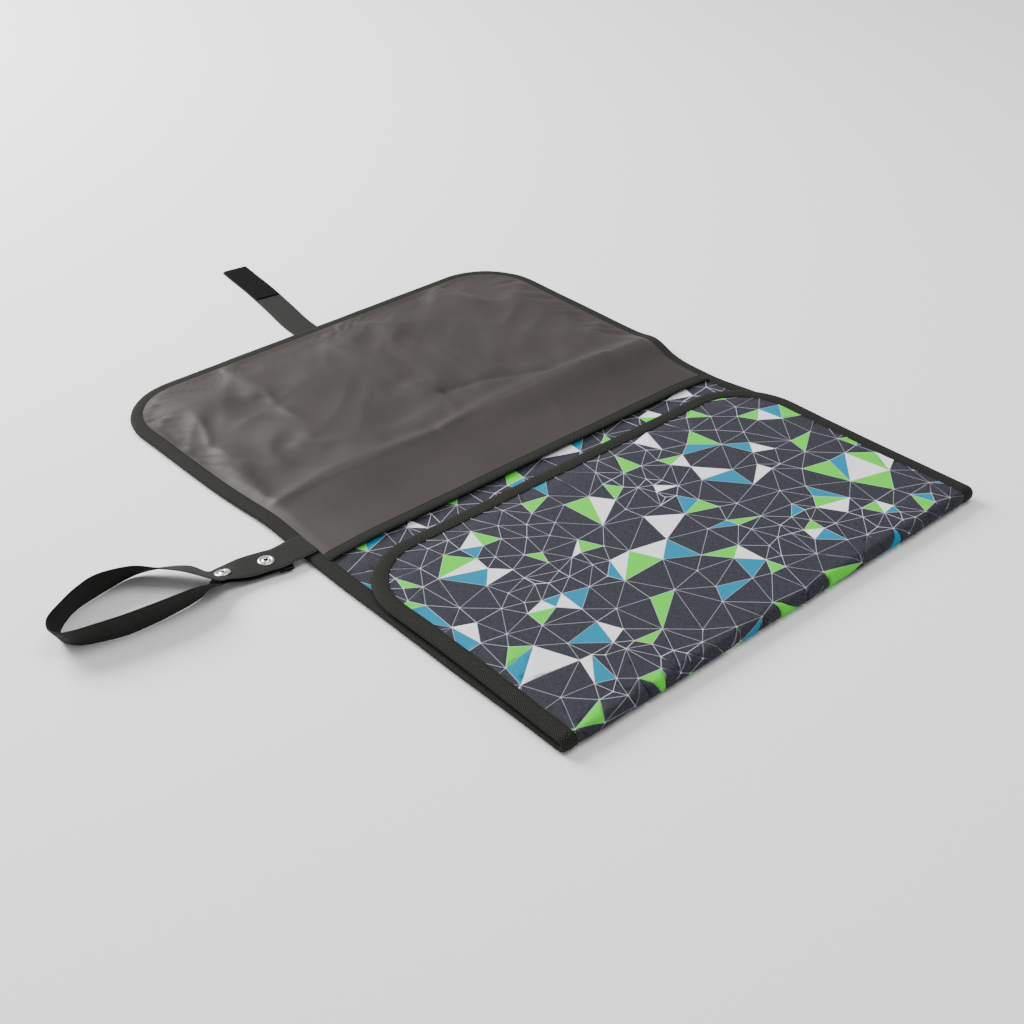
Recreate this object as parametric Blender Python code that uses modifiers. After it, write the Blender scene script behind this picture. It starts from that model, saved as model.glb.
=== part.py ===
"""Folding baby changing mat, lying open on the floor with its front panel still folded up.

Axes: X across the mat, Y from the bottom fold towards the flap's free edge, Z up. The
origin is the centre of the back panel's resting face. All lengths are in metres.
"""

import math

import bmesh
import bpy
from mathutils import Vector

# Overall sizes of the mat
WIDTH = 0.440
BACK_DEPTH = 0.325  # bottom fold to flap fold
FLAP_DEPTH = 0.2505  # flap fold to the flap's free edge
FRONT_DEPTH = 0.243  # bottom fold to the front panel's free edge
CORNER_RADIUS = 0.062
EDGE_THICKNESS = 0.0062  # one panel, over its bound edge

# Cloth, foam and tape
TAPE = 0.0009
SHELL = 0.0005
LINING = 0.0005
NYLON = 0.0004
BINDING_WIDTH = 0.012
RAMP_WIDTH = 0.005  # where the padding rises from the bound edge to full thickness
TAPE_BEND = 0.0012
GAP = 0.0003  # between two pieces that touch
PANEL_GAP = 0.0004  # between the back panel and the front panel folded on it

# Slip pocket inside the flap
MOUTH_SETBACK = 0.063  # flap fold to the pocket's mouth
POCKET_RISE = 0.0054  # how far the pocket cloth stands off the lining
POCKET_RAMP = 0.010
MOUTH_TAPE = 0.0006
MOUTH_TAPE_WIDTH = 0.010
MOUTH_END_SETBACK = 0.001

# Folds
CLOSED_CLEARANCE = 0.001  # closed flap to the panel under it
UNFOLD_AXIS_SETBACK = 0.0052  # front panel's hinge axis, outside the centre of the fold
FOLD_STEPS = 8
CORNER_STEPS = 8

# Closure strap
WEBBING = 0.0012
STRAP_WIDTH = 0.026
STRAP_TIP_REACH = 0.0581
STRAP_ROOT_X = -0.0057
STRAP_SLANT = 0.147  # sideways travel for each unit of length
PATCH_THICKNESS = 0.0012
PATCH_WIDTH = 0.024
HOOK_PATCH_LENGTH = 0.075
WRAP_CLEARANCE = 0.0005
LOOP_PATCH_WIDTH = 0.050
LOOP_PATCH_LENGTH = 0.070
LOOP_PATCH_SETBACK = 0.0105  # from the outside of the bottom fold
LOOP_PATCH_X = 0.013

# Wrist strap
WRIST_WIDTH = 0.026
WRIST_Y = 0.129
WRIST_HINGE_SETBACK = 0.0035  # hinge line outside the mat's edge
SNAP_TRAVEL = 0.0021
SNAP_GAP = 0.00025
FLOOR_CLEARANCE = 0.0002
SNAP_STEPS = 20

# Snap fasteners: radii and heights of the four turned pieces
RING_RADIUS = 0.00625
RING_HEIGHT = 0.0007
RING_BORE = 0.0016
RING_BARREL = 0.0023
SOCKET_RADIUS = 0.0056
SOCKET_HEIGHT = 0.0020
SOCKET_ROOF = 0.00035
STUD_RADIUS = 0.0052
STUD_FLANGE = 0.0006
STUD_BOSS_RADIUS = 0.0020
STUD_BOSS_HEIGHT = 0.0018
STUD_WALL = 0.0005
STUD_ROOF = 0.0004
POST_RADIUS = 0.0060
POST_FLANGE = 0.0008
POST_BARREL = 0.0012

# Places worked out from the sizes above
HALF_WIDTH = WIDTH / 2
Y_BOTTOM = -BACK_DEPTH / 2
Y_HINGE = BACK_DEPTH / 2
Y_FLAP_EDGE = Y_HINGE + FLAP_DEPTH
Y_FRONT_EDGE = Y_BOTTOM + FRONT_DEPTH
Y_MOUTH = Y_HINGE - MOUTH_SETBACK
FOLD_RADIUS = EDGE_THICKNESS + PANEL_GAP / 2
Y_ARC = Y_BOTTOM + FOLD_RADIUS
FRONT_TOP = 2 * FOLD_RADIUS
POCKET_TOP = EDGE_THICKNESS + POCKET_RISE + NYLON
MOUTH_TOP = POCKET_TOP + GAP + MOUTH_TAPE
FLAP_AXIS_Z = (POCKET_TOP + max(MOUTH_TOP, FRONT_TOP) + CLOSED_CLEARANCE) / 2
FOLD_STRIP = math.pi / 2 * (FLAP_AXIS_Z - EDGE_THICKNESS / 2)

# Each layer: its faces at the bound edge, then its faces in the middle of the panel
SHELL_LEVELS = (TAPE + GAP, TAPE + GAP + SHELL, 0.0, SHELL)
LINING_EDGE_TOP = EDGE_THICKNESS - TAPE - GAP - NYLON - GAP
LINING_LEVELS = (LINING_EDGE_TOP - LINING, LINING_EDGE_TOP, EDGE_THICKNESS - LINING, EDGE_THICKNESS)
FOAM_LEVELS = (SHELL_LEVELS[1] + GAP, LINING_LEVELS[0] - GAP, SHELL + GAP, LINING_LEVELS[2] - GAP)
NYLON_LEVELS = (LINING_EDGE_TOP + GAP, LINING_EDGE_TOP + GAP + NYLON, POCKET_TOP - NYLON, POCKET_TOP)

# Materials: colour, roughness, metallic
MATERIALS = {
    "printed_cloth": ((0.048, 0.050, 0.072), 0.85, 0.0),
    "black_tape": ((0.018, 0.020, 0.016), 0.9, 0.0),
    "pocket_nylon": ((0.105, 0.095, 0.090), 0.45, 0.0),
    "foam": ((0.80, 0.79, 0.76), 0.95, 0.0),
    "black_webbing": ((0.015, 0.016, 0.014), 0.85, 0.0),
    "hook_and_loop": ((0.012, 0.012, 0.012), 0.95, 0.0),
    "nickel": ((0.72, 0.71, 0.69), 0.25, 1.0),
}

for old in list(bpy.data.objects):
    bpy.data.objects.remove(old, do_unlink=True)

mat_parts = bpy.data.collections.new("changing_mat")
cutters = bpy.data.collections.new("cutters")
bpy.context.scene.collection.children.link(mat_parts)
bpy.context.scene.collection.children.link(cutters)


def material(name):
    """The material of that name, made the first time it is asked for."""
    found = bpy.data.materials.get(name)
    if found:
        return found
    colour, roughness, metallic = MATERIALS[name]
    made = bpy.data.materials.new(name)
    made.use_nodes = True
    shader = made.node_tree.nodes["Principled BSDF"]
    shader.inputs["Base Color"].default_value = (*colour, 1.0)
    shader.inputs["Roughness"].default_value = roughness
    shader.inputs["Metallic"].default_value = metallic
    made.diffuse_color = (*colour, 1.0)
    return made


def add_object(name, data, finish, axis=(0.0, 0.0, 0.0)):
    """Puts a mesh or a curve in the mat's collection, with its origin on its joint's axis."""
    made = bpy.data.objects.new(name, data)
    mat_parts.objects.link(made)
    data.materials.append(material(finish))
    made.location = axis
    return made


def finish_mesh(name, bm, finish, axis=(0.0, 0.0, 0.0)):
    """Turns a bmesh in world coordinates into an object whose origin is at axis."""
    bmesh.ops.recalc_face_normals(bm, faces=bm.faces)
    bmesh.ops.translate(bm, verts=bm.verts, vec=-Vector(axis))
    mesh = bpy.data.meshes.new(name)
    bm.to_mesh(mesh)
    bm.free()
    return add_object(name, mesh, finish, axis)


def mirrored_levels(levels):
    """The same layer in the front panel, which lies upside down on the back panel."""
    edge_low, edge_high, mid_low, mid_high = levels
    return (FRONT_TOP - edge_high, FRONT_TOP - edge_low, FRONT_TOP - mid_high, FRONT_TOP - mid_low)


def layer_section(levels, ramp=RAMP_WIDTH):
    """A layer cut across the mat: (x, z) corners, pinched under the binding at both sides."""
    edge_low, edge_high, mid_low, mid_high = levels
    outer = HALF_WIDTH - TAPE - GAP
    inner = HALF_WIDTH - BINDING_WIDTH - GAP
    middle = inner - ramp
    low = [(outer, edge_low), (inner, edge_low), (middle, mid_low)]
    high = [(outer, edge_high), (inner, edge_high), (middle, mid_high)]
    left_low = [(-x, z) for x, z in low]
    left_high = [(-x, z) for x, z in high]
    return left_low + low[::-1] + high + left_high[::-1]


def binding_section():
    """Folded edge tape: (distance in from the mat's edge, height) of its C-shaped section."""
    top = EDGE_THICKNESS
    outside = [
        (BINDING_WIDTH, 0.0),
        (TAPE_BEND, 0.0),
        (0.0, TAPE_BEND),
        (0.0, top - TAPE_BEND),
        (TAPE_BEND, top),
        (BINDING_WIDTH, top),
    ]
    inside = [
        (BINDING_WIDTH, top - TAPE),
        (TAPE, top - TAPE),
        (TAPE, TAPE),
        (BINDING_WIDTH, TAPE),
    ]
    return outside + inside


def side_binding_section(side):
    """The edge tape on one long side of the mat, as (x, z) corners; side is -1 or 1."""
    return [(side * (HALF_WIDTH - inwards), z) for inwards, z in binding_section()]


def section_face(bm, section, y):
    return bm.faces.new([bm.verts.new((x, y, z)) for x, z in section])


def straight_piece(name, section, y_from, y_to, finish, axis=(0.0, 0.0, 0.0)):
    """A cross-section drawn out along Y, kept half a gap short at each end."""
    bm = bmesh.new()
    face = section_face(bm, section, y_from + GAP / 2)
    drawn = bmesh.ops.extrude_face_region(bm, geom=[face])["geom"]
    moved = [item for item in drawn if isinstance(item, bmesh.types.BMVert)]
    bmesh.ops.translate(bm, verts=moved, vec=(0.0, y_to - y_from - GAP, 0.0))
    return finish_mesh(name, bm, finish, axis)


def folded_piece(name, section, finish, axis):
    """A cross-section turned half a circle round the bottom fold."""
    bm = bmesh.new()
    corners = [bm.verts.new((x, Y_ARC, z)) for x, z in section]
    edges = [bm.edges.new(pair) for pair in zip(corners, corners[1:] + corners[:1])]
    bmesh.ops.spin(
        bm,
        geom=[*corners, *edges],
        cent=(0.0, Y_ARC, FOLD_RADIUS),
        axis=(1.0, 0.0, 0.0),
        dvec=(0.0, 0.0, 0.0),
        angle=-math.pi,
        steps=FOLD_STEPS,
        use_duplicate=False,
    )
    bmesh.ops.holes_fill(bm, edges=[edge for edge in bm.edges if edge.is_boundary])
    return finish_mesh(name, bm, finish, axis)


def rounded_outline(y_start, y_end, inset=0.0):
    """The outline of a panel with two rounded corners at y_end, from left to right."""
    radius = CORNER_RADIUS - inset
    points = [(-(HALF_WIDTH - inset), y_start)]
    for side in (-1, 1):
        centre = Vector((side * (HALF_WIDTH - CORNER_RADIUS), y_end - CORNER_RADIUS))
        for step in range(CORNER_STEPS + 1):
            share = step / CORNER_STEPS
            angle = math.pi / 2 * (1 - share if side < 0 else share)
            points.append((centre.x + side * radius * math.sin(angle), centre.y + radius * math.cos(angle)))
    points.append((HALF_WIDTH - inset, y_start))
    return points


def rounded_layer(name, levels, y_start, y_end, finish, axis, ramp=RAMP_WIDTH):
    """A layer of a panel with rounded free corners, cut off square at y_start."""
    edge_low, edge_high, mid_low, mid_high = levels
    overrun = 0.06  # cut away again, so that the cut end has the same section as a straight piece
    outline = rounded_outline(y_start - overrun, y_end, TAPE + GAP)
    bm = bmesh.new()
    bottom = bm.faces.new([bm.verts.new((x, y, edge_low)) for x, y in outline])
    drawn = bmesh.ops.extrude_face_region(bm, geom=[bottom])["geom"]
    moved = [item for item in drawn if isinstance(item, bmesh.types.BMVert)]
    top = next(item for item in drawn if isinstance(item, bmesh.types.BMFace))
    bmesh.ops.translate(bm, verts=moved, vec=(0.0, 0.0, edge_high - edge_low))
    bmesh.ops.recalc_face_normals(bm, faces=bm.faces)
    for face, height in ((bottom, mid_low), (top, mid_high)):
        for thickness in (BINDING_WIDTH - TAPE, ramp):
            bmesh.ops.inset_region(bm, faces=[face], thickness=thickness, use_even_offset=True)
        for vert in face.verts:
            vert.co.z = height
    bmesh.ops.bisect_plane(
        bm,
        geom=[*bm.verts, *bm.edges, *bm.faces],
        plane_co=(0.0, y_start + GAP / 2, 0.0),
        plane_no=(0.0, -1.0, 0.0),
        clear_outer=True,
    )
    bmesh.ops.holes_fill(bm, edges=[edge for edge in bm.edges if edge.is_boundary])
    return finish_mesh(name, bm, finish, axis)


def mesh_from(made):
    """The evaluated mesh of an object, with its doubles merged, in the place of the object."""
    graph = bpy.context.evaluated_depsgraph_get()
    mesh = bpy.data.meshes.new_from_object(made.evaluated_get(graph))
    bm = bmesh.new()
    bm.from_mesh(mesh)
    bmesh.ops.remove_doubles(bm, verts=bm.verts, dist=1e-6)
    bmesh.ops.recalc_face_normals(bm, faces=bm.faces)
    bm.to_mesh(mesh)
    bm.free()
    solid = bpy.data.objects.new("solid", mesh)
    solid.matrix_world = made.matrix_world
    mat_parts.objects.link(solid)
    name = made.name
    bpy.data.objects.remove(made, do_unlink=True)
    solid.name = name
    return solid


def rounded_binding(name, y_start, y_end, z_bottom, axis):
    """Edge tape drawn round a panel's two sides and free edge."""
    profile = bpy.data.curves.new(name + "_profile", "CURVE")
    profile.dimensions = "2D"
    shape = profile.splines.new("POLY")
    section = binding_section()
    shape.points.add(len(section) - 1)
    for point, (inwards, z) in zip(shape.points, section):
        point.co = (inwards, z, 0.0, 1.0)
    shape.use_cyclic_u = True
    profile_object = bpy.data.objects.new(name + "_profile", profile)
    cutters.objects.link(profile_object)
    profile_object.hide_render = True
    path = bpy.data.curves.new(name, "CURVE")
    path.dimensions = "2D"
    path.fill_mode = "NONE"
    line = path.splines.new("POLY")
    outline = rounded_outline(y_start + GAP / 2, y_end)
    line.points.add(len(outline) - 1)
    for point, (x, y) in zip(line.points, outline):
        point.co = (x - axis[0], y - axis[1], 0.0, 1.0)
    path.bevel_mode = "OBJECT"
    path.bevel_object = profile_object
    path.use_fill_caps = True
    made = add_object(name, path, "black_tape", (axis[0], axis[1], z_bottom))
    return mesh_from(made)


def smooth_route(points, steps):
    """A smooth curve through the points, with this many steps from each to the next."""
    route = []
    padded = [2 * points[0] - points[1], *points, 2 * points[-1] - points[-2]]
    for before, start, end, after in zip(padded, padded[1:], padded[2:], padded[3:]):
        for step in range(steps):
            t = step / steps
            line = start + 0.5 * t * (end - before)
            square = t * t * (before - 2.5 * start + 2 * end - 0.5 * after)
            cube = 0.5 * t ** 3 * (3 * start - before - 3 * end + after)
            route.append(line + square + cube)
    route.append(points[-1])
    return route


def ribbon(name, stations, finish, axis, steps=3):
    """Webbing of even thickness between two edges, given as pairs of near and far points."""
    near_edge = smooth_route([Vector(near) for near, _ in stations], steps)
    far_edge = smooth_route([Vector(far) for _, far in stations], steps)
    bm = bmesh.new()
    near = [bm.verts.new(point) for point in near_edge]
    far = [bm.verts.new(point) for point in far_edge]
    for i in range(len(near) - 1):
        bm.faces.new((near[i], near[i + 1], far[i + 1], far[i]))
    bmesh.ops.translate(bm, verts=bm.verts, vec=-Vector(axis))
    mesh = bpy.data.meshes.new(name)
    bm.to_mesh(mesh)
    bm.free()
    made = add_object(name, mesh, finish, axis)
    wall = made.modifiers.new("thickness", "SOLIDIFY")
    wall.thickness = WEBBING
    wall.offset = 0.0
    wall.use_even_offset = True
    return made


def block(name, centre, size, finish, axis=(0.0, 0.0, 0.0), slant=0.0):
    """A flat plate, whose sides lean sideways by slant for each unit of length along Y."""
    bm = bmesh.new()
    bmesh.ops.create_cube(bm, size=1.0)
    bmesh.ops.scale(bm, verts=bm.verts, vec=size)
    for vert in bm.verts:
        vert.co.x += slant * vert.co.y
    bmesh.ops.translate(bm, verts=bm.verts, vec=centre)
    return finish_mesh(name, bm, finish, axis)


def cut_with(made, cutter):
    """Cuts a hole through a piece and leaves the cutter hidden."""
    mat_parts.objects.unlink(cutter)
    cutters.objects.link(cutter)
    cutter.hide_render = True
    cutter.display_type = "WIRE"
    cut = made.modifiers.new("cut_" + cutter.name, "BOOLEAN")
    cut.operation = "DIFFERENCE"
    cut.object = cutter


def hole_cutter(name, centre, radius, height, finish):
    bm = bmesh.new()
    bmesh.ops.create_cone(
        bm, cap_ends=True, segments=SNAP_STEPS, radius1=radius, radius2=radius, depth=height
    )
    bmesh.ops.translate(bm, verts=bm.verts, vec=centre)
    return finish_mesh(name, bm, finish)


def turned_piece(name, profile, centre):
    """A snap part: its closed (radius, z) profile spun round the snap's axis."""
    on_axis = any(radius == 0.0 for radius, _ in profile)
    bm = bmesh.new()
    verts = [bm.verts.new((radius, 0.0, z)) for radius, z in profile]
    pairs = list(zip(verts, verts[1:]))
    if not on_axis:
        pairs.append((verts[-1], verts[0]))
    edges = [bm.edges.new(pair) for pair in pairs]
    bmesh.ops.spin(
        bm,
        geom=[*verts, *edges],
        cent=(0.0, 0.0, 0.0),
        axis=(0.0, 0.0, 1.0),
        dvec=(0.0, 0.0, 0.0),
        angle=2 * math.pi,
        steps=SNAP_STEPS,
        use_duplicate=False,
    )
    bmesh.ops.remove_doubles(bm, verts=bm.verts, dist=1e-6)
    bmesh.ops.translate(bm, verts=bm.verts, vec=(centre[0], centre[1], 0.0))
    made = finish_mesh(name, bm, "nickel", (centre[0], centre[1], 0.0))
    made.data.shade_smooth()
    made.data.set_sharp_from_angle(angle=math.radians(35))
    return made


# Hinge axes
flap_axis = (0.0, Y_HINGE, FLAP_AXIS_Z)
front_axis = (0.0, Y_ARC - UNFOLD_AXIS_SETBACK, FOLD_RADIUS)
Y_STRIP_BACK = Y_HINGE - FOLD_STRIP
Y_STRIP_FLAP = Y_HINGE + FOLD_STRIP

# Back panel, which lies on the floor
Y_BACK_START = Y_ARC + GAP / 2
back_shell = straight_piece(
    "back_outer_shell", layer_section(SHELL_LEVELS), Y_BACK_START, Y_STRIP_BACK, "printed_cloth"
)
straight_piece("back_foam", layer_section(FOAM_LEVELS), Y_BACK_START, Y_STRIP_BACK, "foam")
straight_piece(
    "back_inner_lining", layer_section(LINING_LEVELS), Y_BACK_START, Y_STRIP_BACK, "printed_cloth"
)
for side, side_name in ((-1, "left"), (1, "right")):
    straight_piece(
        "back_binding_" + side_name, side_binding_section(side), Y_BACK_START, Y_STRIP_BACK, "black_tape"
    )

# Loop patch let into the outside of the back panel, where the strap's hooks reach it
loop_patch_y = Y_BOTTOM + LOOP_PATCH_SETBACK + LOOP_PATCH_LENGTH / 2
loop_patch_centre = (LOOP_PATCH_X, loop_patch_y, SHELL / 2)
block("loop_patch", loop_patch_centre, (LOOP_PATCH_WIDTH, LOOP_PATCH_LENGTH, SHELL), "hook_and_loop")
patch_window = (LOOP_PATCH_WIDTH + 2 * GAP, LOOP_PATCH_LENGTH + 2 * GAP, 4 * SHELL)
cut_with(back_shell, block("loop_patch_window", loop_patch_centre, patch_window, "hook_and_loop"))

# Bottom fold, where the mat turns from the back panel to the front panel
folded_piece("bottom_fold_shell", layer_section(SHELL_LEVELS), "printed_cloth", front_axis)
folded_piece("bottom_fold_foam", layer_section(FOAM_LEVELS), "foam", front_axis)
folded_piece("bottom_fold_lining", layer_section(LINING_LEVELS), "printed_cloth", front_axis)
for side, side_name in ((-1, "left"), (1, "right")):
    folded_piece("bottom_fold_binding_" + side_name, side_binding_section(side), "black_tape", front_axis)

# Front panel, folded up over the back panel
for piece, levels, finish in (
    ("front_outer_shell", SHELL_LEVELS, "printed_cloth"),
    ("front_foam", FOAM_LEVELS, "foam"),
    ("front_inner_lining", LINING_LEVELS, "printed_cloth"),
):
    rounded_layer(piece, mirrored_levels(levels), Y_BACK_START, Y_FRONT_EDGE, finish, front_axis)
rounded_binding("front_binding", Y_BACK_START, Y_FRONT_EDGE, FRONT_TOP - EDGE_THICKNESS, front_axis)

# Flap fold, the soft strip that the flap turns on
for piece, levels, finish in (
    ("flap_fold_shell", SHELL_LEVELS, "printed_cloth"),
    ("flap_fold_foam", FOAM_LEVELS, "foam"),
    ("flap_fold_lining", LINING_LEVELS, "printed_cloth"),
):
    straight_piece(piece, layer_section(levels), Y_STRIP_BACK, Y_STRIP_FLAP, finish, flap_axis)
for side, side_name in ((-1, "left"), (1, "right")):
    straight_piece(
        "flap_fold_binding_" + side_name,
        side_binding_section(side),
        Y_STRIP_BACK,
        Y_STRIP_FLAP,
        "black_tape",
        flap_axis,
    )

# Flap
for piece, levels, finish in (
    ("flap_outer_shell", SHELL_LEVELS, "printed_cloth"),
    ("flap_foam", FOAM_LEVELS, "foam"),
    ("flap_inner_lining", LINING_LEVELS, "printed_cloth"),
):
    rounded_layer(piece, levels, Y_STRIP_FLAP, Y_FLAP_EDGE, finish, flap_axis)
rounded_layer(
    "pocket_flap_panel", NYLON_LEVELS, Y_STRIP_FLAP, Y_FLAP_EDGE, "pocket_nylon", flap_axis, POCKET_RAMP
)
rounded_binding("flap_binding", Y_STRIP_FLAP, Y_FLAP_EDGE, 0.0, flap_axis)

# Slip pocket: the same cloth runs on over the fold to its mouth on the back panel
pocket_section = layer_section(NYLON_LEVELS, POCKET_RAMP)
Y_MOUTH_CLOTH = Y_MOUTH + MOUTH_TAPE + GAP / 2
straight_piece("pocket_mouth_panel", pocket_section, Y_MOUTH_CLOTH, Y_STRIP_BACK, "pocket_nylon")
straight_piece(
    "pocket_fold_panel", pocket_section, Y_STRIP_BACK, Y_STRIP_FLAP, "pocket_nylon", flap_axis
)


def mouth_binding():
    """Tape folded over the pocket's mouth, between the ramps at the pocket's two ends."""
    end = HALF_WIDTH - BINDING_WIDTH - GAP - POCKET_RAMP - MOUTH_END_SETBACK
    low = POCKET_TOP - NYLON - GAP - MOUTH_TAPE
    y_in = Y_MOUTH + MOUTH_TAPE
    y_far = Y_MOUTH + MOUTH_TAPE_WIDTH
    section = [
        (y_far, low),
        (Y_MOUTH, low),
        (Y_MOUTH, MOUTH_TOP),
        (y_far, MOUTH_TOP),
        (y_far, POCKET_TOP + GAP),
        (y_in, POCKET_TOP + GAP),
        (y_in, low + MOUTH_TAPE),
        (y_far, low + MOUTH_TAPE),
    ]
    bm = bmesh.new()
    face = bm.faces.new([bm.verts.new((-end, y, z)) for y, z in section])
    drawn = bmesh.ops.extrude_face_region(bm, geom=[face])["geom"]
    moved = [item for item in drawn if isinstance(item, bmesh.types.BMVert)]
    bmesh.ops.translate(bm, verts=moved, vec=(2 * end, 0.0, 0.0))
    return finish_mesh("pocket_mouth_binding", bm, "black_tape")


mouth_binding()

# Closure strap: it lies beyond the flap's free edge, and folds at two places, so that with
# the flap closed it goes down past the bottom fold and back under the mat.
strap_z = GAP + WEBBING / 2
strap_top = GAP + WEBBING
patch_top = strap_top + GAP + PATCH_THICKNESS
strap_axis_y = 2 * Y_HINGE - Y_BOTTOM + (patch_top - strap_top) + WRAP_CLEARANCE
strap_tip_axis_y = strap_axis_y + 2 * FLAP_AXIS_Z - strap_top + WRAP_CLEARANCE
Y_STRAP_TIP = strap_tip_axis_y + STRAP_TIP_REACH
strap_axis = (0.0, strap_axis_y, strap_top)
strap_tip_axis = (0.0, strap_tip_axis_y, patch_top)


def strap_plate(name, y_from, y_to, z, thickness, width, finish, axis):
    """One slanting stretch of the strap or of its patch, half a gap short at each end."""
    middle = (y_from + y_to) / 2
    x = STRAP_ROOT_X + STRAP_SLANT * (middle - Y_FLAP_EDGE)
    size = (width, y_to - y_from - GAP, thickness)
    return block(name, (x, middle, z), size, finish, axis, STRAP_SLANT)


strap_plate(
    "closure_strap_root", Y_FLAP_EDGE + GAP / 2, strap_axis_y, strap_z, WEBBING, STRAP_WIDTH,
    "black_webbing", flap_axis,
)
strap_plate(
    "closure_strap_middle", strap_axis_y, strap_tip_axis_y, strap_z, WEBBING, STRAP_WIDTH,
    "black_webbing", strap_axis,
)
strap_plate(
    "closure_strap_tip", strap_tip_axis_y, Y_STRAP_TIP, strap_z, WEBBING, STRAP_WIDTH,
    "black_webbing", strap_tip_axis,
)
patch_z = patch_top - PATCH_THICKNESS / 2
strap_plate(
    "hook_patch_middle", Y_STRAP_TIP - HOOK_PATCH_LENGTH, strap_tip_axis_y, patch_z, PATCH_THICKNESS,
    PATCH_WIDTH, "hook_and_loop", strap_axis,
)
strap_plate(
    "hook_patch_tip", strap_tip_axis_y, Y_STRAP_TIP - GAP, patch_z, PATCH_THICKNESS,
    PATCH_WIDTH, "hook_and_loop", strap_tip_axis,
)

# Wrist strap: webbing sewn on the left binding, out over two snaps, round and back below
post_low = FLOOR_CLEARANCE + SNAP_TRAVEL
post_high = post_low + POST_FLANGE
lower_web = post_high + SNAP_GAP + WEBBING / 2
stud_low = lower_web + WEBBING / 2 + SNAP_GAP
stud_high = stud_low + STUD_FLANGE
socket_low = stud_high + GAP
socket_high = socket_low + SOCKET_HEIGHT
upper_web = socket_high + SNAP_GAP + WEBBING / 2
ring_low = upper_web + WEBBING / 2 + SNAP_GAP
ring_high = ring_low + RING_HEIGHT
sewn_z = EDGE_THICKNESS + GAP + WEBBING / 2
wrist_x = -HALF_WIDTH - WRIST_HINGE_SETBACK
wrist_axis = (wrist_x, WRIST_Y, sewn_z + WEBBING / 2)
sewn_from = -HALF_WIDTH + BINDING_WIDTH
sewn_to = wrist_x + GAP
block(
    "wrist_strap_sewn_end",
    ((sewn_from + sewn_to) / 2, WRIST_Y, sewn_z),
    (sewn_from - sewn_to, WRIST_WIDTH, WEBBING),
    "black_webbing",
)

# The straps' line over the two snaps, measured from the mat's left edge
SNAP_CENTRES = ((-HALF_WIDTH - 0.0250, WRIST_Y + 0.0020), (-HALF_WIDTH - 0.0576, WRIST_Y + 0.0093))
snap_line = (Vector(SNAP_CENTRES[1]) - Vector(SNAP_CENTRES[0])).normalized()
across = Vector((-snap_line.y, snap_line.x)) * (-WRIST_WIDTH / 2)


def flat_station(centre, z):
    """The near and far edges of webbing that lies flat, square to the line of the snaps."""
    near = Vector(centre) - across
    far = Vector(centre) + across
    return ((near.x, near.y, z), (far.x, far.y, z))


def along(centre, distance):
    return Vector(centre) + snap_line * distance


def loop_station(near, far):
    """A twisted station, with both edges given from the mat's left edge and the strap's line."""
    corner = Vector((-HALF_WIDTH, WRIST_Y, 0.0))
    return (corner + Vector(near), corner + Vector(far))


tab_stations = [
    ((wrist_x - GAP, WRIST_Y - WRIST_WIDTH / 2, sewn_z), (wrist_x - GAP, WRIST_Y + WRIST_WIDTH / 2, sewn_z)),
    flat_station(along(SNAP_CENTRES[0], -0.009), upper_web),
    flat_station(SNAP_CENTRES[0], upper_web),
    flat_station(along(SNAP_CENTRES[0], 0.0165), upper_web),
    flat_station(SNAP_CENTRES[1], upper_web),
    flat_station(along(SNAP_CENTRES[1], 0.008), upper_web),
]
loop_stations = [
    loop_station((-0.0839, 0.0188, 0.0170), (-0.0699, 0.0362, 0.0060)),
    loop_station((-0.0985, 0.0330, 0.0195), (-0.0865, 0.0510, 0.0035)),
    loop_station((-0.1110, 0.0440, 0.0215), (-0.1054, 0.0590, 0.0010)),
    loop_station((-0.1357, 0.0477, 0.0245), (-0.1354, 0.0550, 0.0006)),
    loop_station((-0.1546, 0.0430, 0.0250), (-0.1535, 0.0505, 0.0006)),
    loop_station((-0.1720, 0.0350, 0.0245), (-0.1675, 0.0425, 0.0006)),
    loop_station((-0.1860, 0.0265, 0.0240), (-0.1765, 0.0335, 0.0006)),
    loop_station((-0.1918, 0.0160, 0.0235), (-0.1790, 0.0250, 0.0006)),
    loop_station((-0.1890, 0.0075, 0.0235), (-0.1760, 0.0175, 0.0006)),
    loop_station((-0.1810, 0.0025, 0.0238), (-0.1690, 0.0110, 0.0006)),
    loop_station((-0.1650, -0.0015, 0.0240), (-0.1560, 0.0055, 0.0006)),
    loop_station((-0.1440, -0.0056, 0.0240), (-0.1400, 0.0008, 0.0006)),
    loop_station((-0.1160, -0.0090, 0.0240), (-0.1150, -0.0002, 0.0006)),
    loop_station((-0.0920, -0.0095, 0.0215), (-0.0925, 0.0030, 0.0008)),
    loop_station((-0.0800, -0.0090, 0.0140), (-0.0785, 0.0110, 0.0014)),
]
wrist_webbing = ribbon("wrist_strap_webbing", tab_stations + loop_stations, "black_webbing", wrist_axis)
lower_stations = [
    loop_station((-0.0794, -0.0088, 0.0137), (-0.0779, 0.0112, 0.0014)),
    loop_station((-0.0730, -0.0058, 0.0078), (-0.0710, 0.0165, 0.0030)),
    flat_station(along(SNAP_CENTRES[1], 0.0075), lower_web),
    flat_station(SNAP_CENTRES[1], lower_web),
    flat_station(along(SNAP_CENTRES[0], 0.0165), lower_web),
    flat_station(SNAP_CENTRES[0], lower_web),
    flat_station(along(SNAP_CENTRES[0], -0.0155), lower_web),
]
free_end = ribbon("wrist_strap_free_end", lower_stations, "black_webbing", wrist_axis)

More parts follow.
